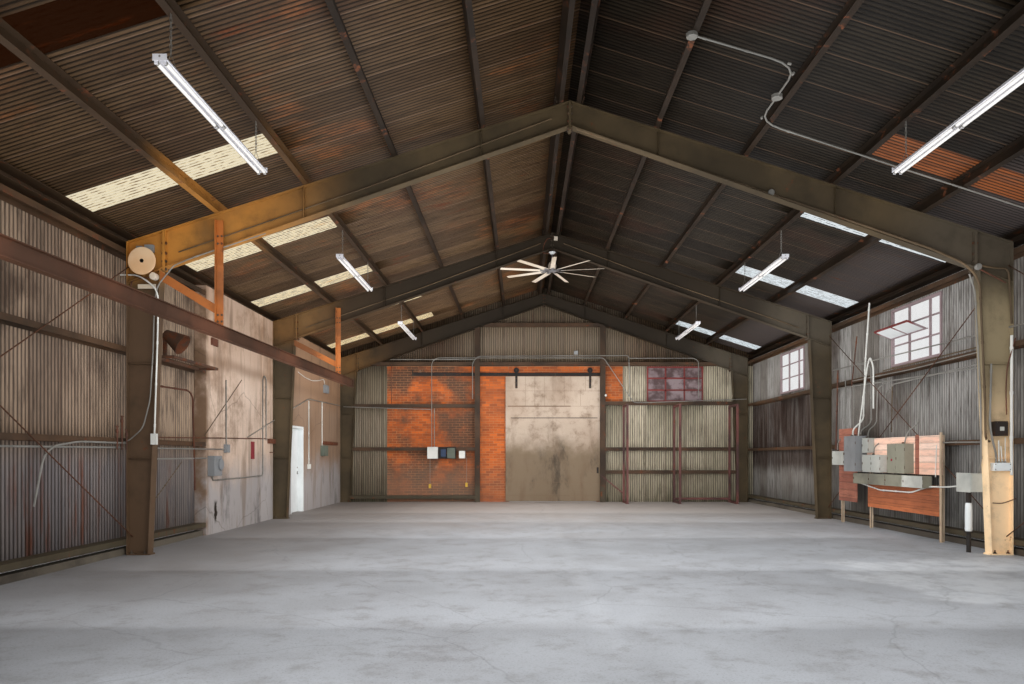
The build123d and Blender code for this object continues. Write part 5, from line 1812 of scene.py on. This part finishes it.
def board_planks():
    shape = Shape("board_planks", board_red, board_orange, board_dark, pale_timber, bolt_steel)
    for paint, (left, low), (right, high), count in PLANKS:
        for bottom, top in steps(low, high, count):
            face = BOARD_FACE + draw.uniform(0, 0.002)
            shape.paint = paint
            corner = (BOARD_BACK, right, top - PLANK_GAP / 2)
            shape.box((face, left, bottom + PLANK_GAP / 2), corner)
            shape.paint = NAIL
            for y in (left + 0.06, right - 0.06):
                shape.bolt((face, y, (bottom + top) / 2), (-1, 0, 0), 0.005, 0.002)
    shape.paint = TIMBER
    for y, height in BOARD_POSTS:
        shape.box((BOARD_BACK, y - POST_HALF, SLAB), (POST_BACK, y + POST_HALF, SLAB + height))
    shape.box((BOARD_FACE - 0.02, -1.6, SLAB), (BOARD_FACE, -1.55, SLAB + 1.74))
    shape.paint = DARK
    shape.box((BOARD_FACE - 0.01, -0.9, SLAB + 1.06), (BOARD_FACE, -0.79, SLAB + 1.72))
    shape.finish("board_wood", replaces=("switchboards",), bevel=0.001)


LID = 0.006
GREY_LID, PALE_LID, DRAB_LID, LATCH, SWITCH = range(5)
SWITCH_BOXES = (
    (GREY_LID, (1.0, 1.07), (1.51, 1.76), 0.23, 1),
    (PALE_LID, (1.69, 1.19), (2.25, 1.47), 0.16, 1),
    (PALE_LID, (0.11, 1.07), (0.82, 1.39), 0.18, 2),
    (DRAB_LID, (-0.73, 1.07), (-0.12, 1.58), 0.16, 2),
    (PALE_LID, (0.7, 1.43), (0.96, 1.71), 0.12, 1),
    (DRAB_LID, (-1.29, 0.84), (1.27, 1.04), 0.15, 4),
)
HUB_PLACES = (
    (5.88, 1.08, 1.76), (5.86, 1.27, 1.76), (5.86, 1.42, 1.76), (5.9, 0.86, 1.71),
    (5.87, 0.53, 1.39), (5.9, -0.5, 1.58), (5.9, 2.2, 1.47),
)
CONDUIT_HUB = ((-0.01, 0.024), (0.012, 0.024), (0.014, 0.02), (0.026, 0.02))
SWITCH_KNOB = ((0.0, 0.022), (0.008, 0.022), (0.014, 0.014))
pale_box = steel_paint("pale_box_paint", srgb(190, 190, 182), srgb(160, 162, 156), 0.72, 0.4)
drab_box = steel_paint("drab_box_paint", srgb(136, 134, 118), srgb(112, 110, 98), 0.7, 0.45)


def lidded_box(shape, paint, low, high, depth, doors):
    """Box on the boards, its face along -x, with a lid, hinge pins and a latch for each door."""
    front = BOARD_FACE - depth
    (near, bottom), (far, top) = low, high
    shape.paint = paint
    shape.box((front + LID, near + 0.003, bottom + 0.003), (BOARD_FACE, far - 0.003, top - 0.003))
    for left, right in steps(near, far, doors):
        shape.paint = paint
        shape.box((front, left + 0.002, bottom), (front + LID - 0.001, right - 0.002, top))
        shape.paint = LATCH
        for share in (0.2, 0.8):
            z = bottom + (top - bottom) * share
            shape.upright(front + 0.004, left + 0.004, z - 0.025, z + 0.025, 0.006, 6)
        latch = right - 0.02
        middle = (bottom + top) / 2
        corner = (front - 0.006, latch - 0.009, middle - 0.02)
        shape.box(corner, (front, latch + 0.009, middle + 0.02))
        for z in (bottom + 0.02, top - 0.02):
            shape.bolt((front, latch, z), (-1, 0, 0), 0.005, 0.003)


def switch_box_lids():
    shape = Shape(
        "switch_box_lids", grey_box, pale_box, drab_box, bolt_steel, red_plate, track_paint
    )
    for paint, (left, low), (right, high), depth, doors in SWITCH_BOXES:
        lidded_box(shape, paint, (left, SLAB + low), (right, SLAB + high), depth, doors)
    shape.paint = PALE_LID
    shape.box((BOARD_FACE - 0.151, 0.24, SLAB + 1.15), (BOARD_FACE - 0.1505, 0.24, SLAB + 1.3))
    shape.box((BOARD_FACE - 0.1515, -1.285, SLAB + 0.843), (BOARD_FACE - 0.15, -0.62, SLAB + 1.037))
    shape.paint = SWITCH
    shape.turned(SWITCH_KNOB, (BOARD_FACE - 0.16, -0.29, SLAB + 1.3), (-1, 0, 0), 14)
    shape.paint = LATCH
    for x, y, z in HUB_PLACES:
        shape.turned(CONDUIT_HUB, (x, y, SLAB + z), UP, 10)
    shape.finish("box_paint", replaces=("switch_boxes",), bevel=0.0012)


board_planks()
switch_box_lids()

# Boxes on the right column: meter, terminal box with its hubs, and the box on the flange
COLUMN_WEB = LINE_1 - WEB
SMALL_HUB = ((0.0, 0.018), (0.012, 0.018), (0.014, 0.014), (0.024, 0.014))
STAND_PIPE = (5.67, -2.8, SLAB)
PIPE_SLEEVE = ((0.3, 0.045), (0.34, 0.05), (0.36, 0.046), (0.5, 0.048), (0.66, 0.045), (0.7, 0.038))
PIPE_FOOT = ((0.0, 0.03), (0.28, 0.03), (0.28, 0.062), (0.3, 0.062))
METER, PALE, WHITE_BOX, HUBS, BOX_BOLT = range(5)
COLUMN_BOXES = (
    (METER, (5.83, COLUMN_WEB - 0.104, 1.76), (6.0, COLUMN_WEB, 1.96)),
    (METER, (5.838, COLUMN_WEB - 0.11, 1.768), (5.992, COLUMN_WEB - 0.104, 1.952)),
    (PALE, (5.885, COLUMN_WEB - 0.1115, 1.83), (5.945, COLUMN_WEB - 0.11, 1.885)),
    (PALE, (5.6, -2.972, 0.98), (5.87, -2.622, 1.24)),
    (PALE, (5.594, -2.966, 0.974), (5.6, -2.628, 1.246)),
    (PALE, (5.606, -2.978, 0.986), (5.864, -2.972, 1.234)),
    (WHITE_BOX, (5.82, COLUMN_WEB - 0.086, 1.28), (6.06, COLUMN_WEB, 1.39)),
    (WHITE_BOX, (5.825, COLUMN_WEB - 0.09, 1.285), (6.055, COLUMN_WEB - 0.086, 1.385)),
)


def column_box_set():
    shape = Shape(
        "column_box_set",
        track_paint, pale_box, white_paint, conduit_steel, bolt_steel, kerb_concrete,
    )
    for paint, low, high in COLUMN_BOXES:
        shape.paint = paint
        shape.box(low, high)
    shape.paint = HUBS
    for x in (5.865, 5.905, 5.95, 5.99):
        shape.turned(SMALL_HUB, (x, COLUMN_WEB - 0.06, 1.388), UP, 10)
    shape.paint = BOX_BOLT
    for x, z in product((5.84, 6.04), (1.3, 1.37)):
        shape.bolt((x, COLUMN_WEB - 0.09, z), FORWARDS, 0.005, 0.003)
    for x, z in product((5.848, 5.982), (1.778, 1.942)):
        shape.bolt((x, COLUMN_WEB - 0.11, z), FORWARDS, 0.004, 0.003)
    shape.paint = METER
    shape.box((5.65, -2.83, 0.8), (5.69, -2.77, 0.98))
    shape.paint = WHITE_BOX
    shape.turned(PIPE_SLEEVE, STAND_PIPE, UP, 18)
    shape.paint = METER
    shape.turned(PIPE_FOOT, STAND_PIPE, UP, 18)
    shape.finish("box_paint", replaces=("column_boxes",), bevel=0.0015)


# Round lamp: spun disc with rings about a dark hub, on its stem and clamp
LAMP = (-5.84, COLUMN_WEB, SLAB + 4.025)
LAMP_DISC = ((0.16, 0.188), (0.156, 0.1895), (0.09, 0.158), (0.09, 0.03))
LAMP_HUB = ((0.158, 0.026), (0.1635, 0.026), (0.1635, 0.018), (0.16, 0.016))
LAMP_STEM = ((0.0, 0.025), (0.0, 0.045), (0.01, 0.045), (0.012, 0.025), (0.092, 0.025))
RING_COUNT = 13


def round_lamp():
    shape = Shape("round_lamp", lamp_face, track_paint, grey_box)
    x, y, z = LAMP
    shape.turned(LAMP_DISC, LAMP, FORWARDS, 48)
    rings = [(0.1602 + 0.0022 * (step % 2), 0.184 - 0.012 * step) for step in range(RING_COUNT)]
    shape.turned([(0.159, 0.186), *rings, (0.159, 0.026)], LAMP, FORWARDS, 48)
    shape.paint = 1
    shape.turned(LAMP_HUB, LAMP, FORWARDS, 24)
    shape.paint = 2
    shape.turned(LAMP_STEM, LAMP, FORWARDS, 20)
    shape.box((x - 0.13, y - 0.06, z + 0.17), (x - 0.05, y, z + 0.23))
    shape.box((x - 0.02, y - 0.05, z + 0.15), (x + 0.1, y, z + 0.25))
    shape.finish("lamp_enamel", replaces=("knee_lamp",), corner=30)


column_box_set()
round_lamp()

# Boxes, plates and holders on the left wall and the gable: (paint, low, high, depth)
POST_FACE = 9.068
BOX_LID = 0.004
GREY_BOX, GREEN_BOX, BLUE_BOX, WHITE_PLATE, RED_PLATE, RUSTY_PLATE, DARK_PLATE, SCREW = range(8)
MASONRY_BOXES = (
    (GREY_BOX, (-0.44, 1.14), (-0.1, 1.49), 0.12),
    (RED_PLATE, (1.64, 1.43), (1.8, 1.78), 0.02),
    (GREEN_BOX, (6.86, 1.5), (7.3, 1.78), 0.1),
    (RUSTY_PLATE, (7.05, 1.81), (8.65, 1.9), 0.04),
    (GREY_BOX, (7.14, 3.23), (7.47, 3.44), 0.08),
    (RUSTY_PLATE, (-0.31, 3.43), (-0.04, 3.56), 0.03),
    (WHITE_PLATE, (5.62, 1.17), (5.78, 1.29), 0.05),
    (GREY_BOX, (0.26, 1.55), (0.42, 1.7), 0.06),
    (RUSTY_PLATE, (2.62, 1.76), (3.0, 1.86), 0.06),
)
GABLE_BOXES = (
    (WHITE_PLATE, (-3.48, 1.42), (-3.17, 1.77), 0.12),
    (DARK_PLATE, (-3.16, 1.42), (-2.63, 1.77), 0.03),
    (BLUE_BOX, (-3.08, 1.48), (-2.93, 1.70), 0.09),
    (GREEN_BOX, (-2.89, 1.43), (-2.66, 1.74), 0.1),
    (WHITE_PLATE, (-2.54, 1.43), (-2.36, 1.65), 0.09),
    (GREY_BOX, (0.89, 4.53), (1.01, 4.64), 0.03),
)
VALVE_X = -6.05
VALVES = ((-3.44, 1.88), (-3.32, 2.02), (-3.2, 1.84))
VALVE_BODY = ((0.0, 0.012), (0.01, 0.02), (0.04, 0.02), (0.05, 0.012))
DIAL = ((0.12, 0.1), (0.15, 0.1), (0.16, 0.085), (0.16, 0.02))


def on_masonry(u, z, off):
    return (off - MASONRY_FACE, u, z)


def on_posts(u, z, off):
    return (u, POST_FACE - off, z)


def fixed_box(shape, paint, place, low, high, depth):
    """Box with a raised lid and four screws; place turns (u, z, distance off) into a point."""
    (left, bottom), (right, top) = low, high
    lid = depth - BOX_LID
    shape.paint = paint
    shape.box(place(left, bottom, 0), place(right, top, lid))
    shape.box(place(left + 0.006, bottom + 0.006, lid), place(right - 0.006, top - 0.006, depth))
    shape.paint = SCREW
    axis = Vector(place(0, 0, 1)) - Vector(place(0, 0, 0))
    for u, z in product((left + 0.016, right - 0.016), (bottom + 0.016, top - 0.016)):
        shape.bolt(place(u, z, depth), axis, 0.004, 0.002)


def wall_boxes():
    shape = Shape(
        "wall_boxes",
        grey_box, green_box, blue_box, white_pipe, red_plate, rusty_pipe, track_paint, bolt_steel,
    )
    for place, row in ((on_masonry, MASONRY_BOXES), (on_posts, GABLE_BOXES)):
        for paint, low, high, depth in row:
            fixed_box(shape, paint, place, low, high, depth)
    shape.paint = RUSTY_PLATE
    for y, top in VALVES:
        shape.upright(VALVE_X, y, 1.57, top, 0.01)
        shape.rod((VALVE_X, y - 0.04, top), (VALVE_X, y + 0.04, top), 0.007)
        shape.turned(VALVE_BODY, (VALVE_X, y, top - 0.09), UP, 8)
    shape.paint = GREY_BOX
    shape.turned(DIAL, on_masonry(-0.2, 1.34, 0), (1, 0, 0), 20)
    shape.finish("box_paint", bevel=0.001)


# Bolts of the overhead rail's hangers, the rail's end stops and the rack's foot plates
RAIL_TOP = SLAB + 3.16
RAIL_NEAR_OFFSET = 4.955
RAIL_SKEW = math.radians(1.37)
RAIL_ENDS = (-9.04, 4.165)
RAIL_FLANGE = 0.01
RAIL_DEPTH = 0.18
RAIL_STOP_HALF = (0.042, 0.005)
HANGER_PLATE = 0.01
HANGER_BOLTS = (RAIL_TOP + 0.05, RAIL_TOP + 0.14, 4.4, 4.5)
RACK_FRAMES = (2.37, 3.88, 5.53)
RACK_FRONT, RACK_REAR = 8.168, 9.038


def rail_middle(y):
    """The rail runs a little askew to the building."""
    return (y - FRAME_LINES[0]) * math.tan(RAIL_SKEW) - RAIL_NEAR_OFFSET


def rail_fixings():
    shape = Shape("rail_fixings", bolt_steel, rail_paint, rack_paint)
    for line in FRAME_LINES[:-1]:
        towards = 1 if line == FRAME_LINES[0] else -1
        face = line + towards * (FLANGE + HANGER_PLATE)
        for height, off in product(HANGER_BOLTS, (-0.025, 0.03)):
            shape.bolt((rail_middle(line) + off, face, height), (0, towards, 0), 0.011, 0.01)
    shape.paint = 1
    wide, thick = RAIL_STOP_HALF
    for y in RAIL_ENDS:
        x = rail_middle(y)
        low = (x - wide, y - thick, RAIL_TOP - RAIL_DEPTH + RAIL_FLANGE)
        shape.box(low, (x + wide, y + thick, RAIL_TOP - RAIL_FLANGE))
    shape.paint = 2
    for x, y in product(RACK_FRAMES, (RACK_FRONT + 0.03, RACK_REAR - 0.03)):
        shape.box((x - 0.06, y - 0.04, SLAB), (x + 0.06, y + 0.04, SLAB + 0.008))
    shape.finish("rail_steel", bevel=0.0008)


wall_boxes()
rail_fixings()

# Camera, floor and light
CAMERA_PLACE = (-0.655, -13.496, 1.47)
STAGE_HALF = 60.0
SKY_STRENGTH = 0.8


def aim(thing, target):
    direction = Vector(target) - thing.location
    thing.rotation_euler = direction.to_track_quat("-Z", "Y").to_euler()


def photo_camera():
    """Level camera near the front, its frame shifted up as in the photograph."""
    data = bpy.data.cameras.new("camera")
    data.sensor_width = 36.0
    data.lens = 26.54
    data.shift_x = -0.010
    data.shift_y = 0.1123
    camera = bpy.data.objects.new("camera", data)
    camera.location = CAMERA_PLACE
    camera.rotation_euler = (math.radians(90), 0, 0)
    scene.collection.objects.link(camera)
    scene.camera = camera


def pale_stage():
    mesh = bpy.data.meshes.new("stage_floor")
    corners = [(-1, -1), (1, -1), (1, 1), (-1, 1)]
    mesh.from_pydata([(STAGE_HALF * x, STAGE_HALF * y, 0) for x, y in corners], [], [(0, 1, 2, 3)])
    stage_floor = bpy.data.objects.new("stage_floor", mesh)
    scene.collection.objects.link(stage_floor)
    mesh.materials.append(Paint("stage_floor", 0.9).finish((0.8, 0.8, 0.8)))


def studio_world():
    """Soft white light all round, and pure white where the camera, gloss or glass sees it."""
    world = bpy.data.worlds.new("studio")
    scene.world = world
    world.use_nodes = True
    tree = world.node_tree
    background = tree.nodes["Background"]
    background.inputs["Color"].default_value = (1, 1, 1, 1)
    background.inputs["Strength"].default_value = SKY_STRENGTH
    seen = tree.nodes.new("ShaderNodeBackground")
    seen.inputs["Strength"].default_value = 1.0
    path = tree.nodes.new("ShaderNodeLightPath")
    either = path.outputs["Is Camera Ray"]
    for ray in ("Is Glossy Ray", "Is Transmission Ray"):
        joined = tree.nodes.new("ShaderNodeMath")
        joined.operation = "MAXIMUM"
        tree.links.new(either, joined.inputs[0])
        tree.links.new(path.outputs[ray], joined.inputs[1])
        either = joined.outputs["Value"]
    chooser = tree.nodes.new("ShaderNodeMixShader")
    tree.links.new(either, chooser.inputs["Fac"])
    tree.links.new(background.outputs["Background"], chooser.inputs[1])
    tree.links.new(seen.outputs["Background"], chooser.inputs[2])
    tree.links.new(chooser.outputs["Shader"], tree.nodes["World Output"].inputs["Surface"])


def lamp(name, place, target, size, strength):
    """Soft rectangular lamp whose face is as bright as strength."""
    data = bpy.data.lights.new(name, "AREA")
    data.shape = "RECTANGLE"
    data.size, data.size_y = size
    data.energy = strength * math.pi * size[0] * size[1]
    made = bpy.data.objects.new(name, data)
    made.location = place
    aim(made, target)
    made.visible_camera = False
    made.visible_glossy = False
    scene.collection.objects.link(made)


photo_camera()
pale_stage()
studio_world()
lamp("front_lamp", (0, -9.9, 2.3), (0, 0, 2.3), (7.0, 3.8), 1.2)
lamp("down_lamp", (0, 0, 4.1), (0, 0, 0), (11.0, 17.6), 0.6)
lamp("up_lamp", (0, 0, 2.4), (0, 0, 9), (11.0, 17.6), 0.6)
for number, y in enumerate((-7.6, -4.6, -1.0, 2.0, 4.6)):
    lamp(f"rear_lamp_{number}", (0, y, 2.5), (0, y + 5, 2.5), (11.4, 4.4), 0.75)
for side in SIDES:
    lamp(f"wall_lamp_{side}", (side * -0.15, 0, 2.4), (side * 6, 0, 2.4), (17.0, 4.0), 1.1)
lamp("yard_lamp_left", (-16, -12, 12), (0, 0, 2), (10, 8), 1.6)
lamp("yard_lamp_right", (16, 14, 12), (0, 0, 2), (10, 8), 1.2)
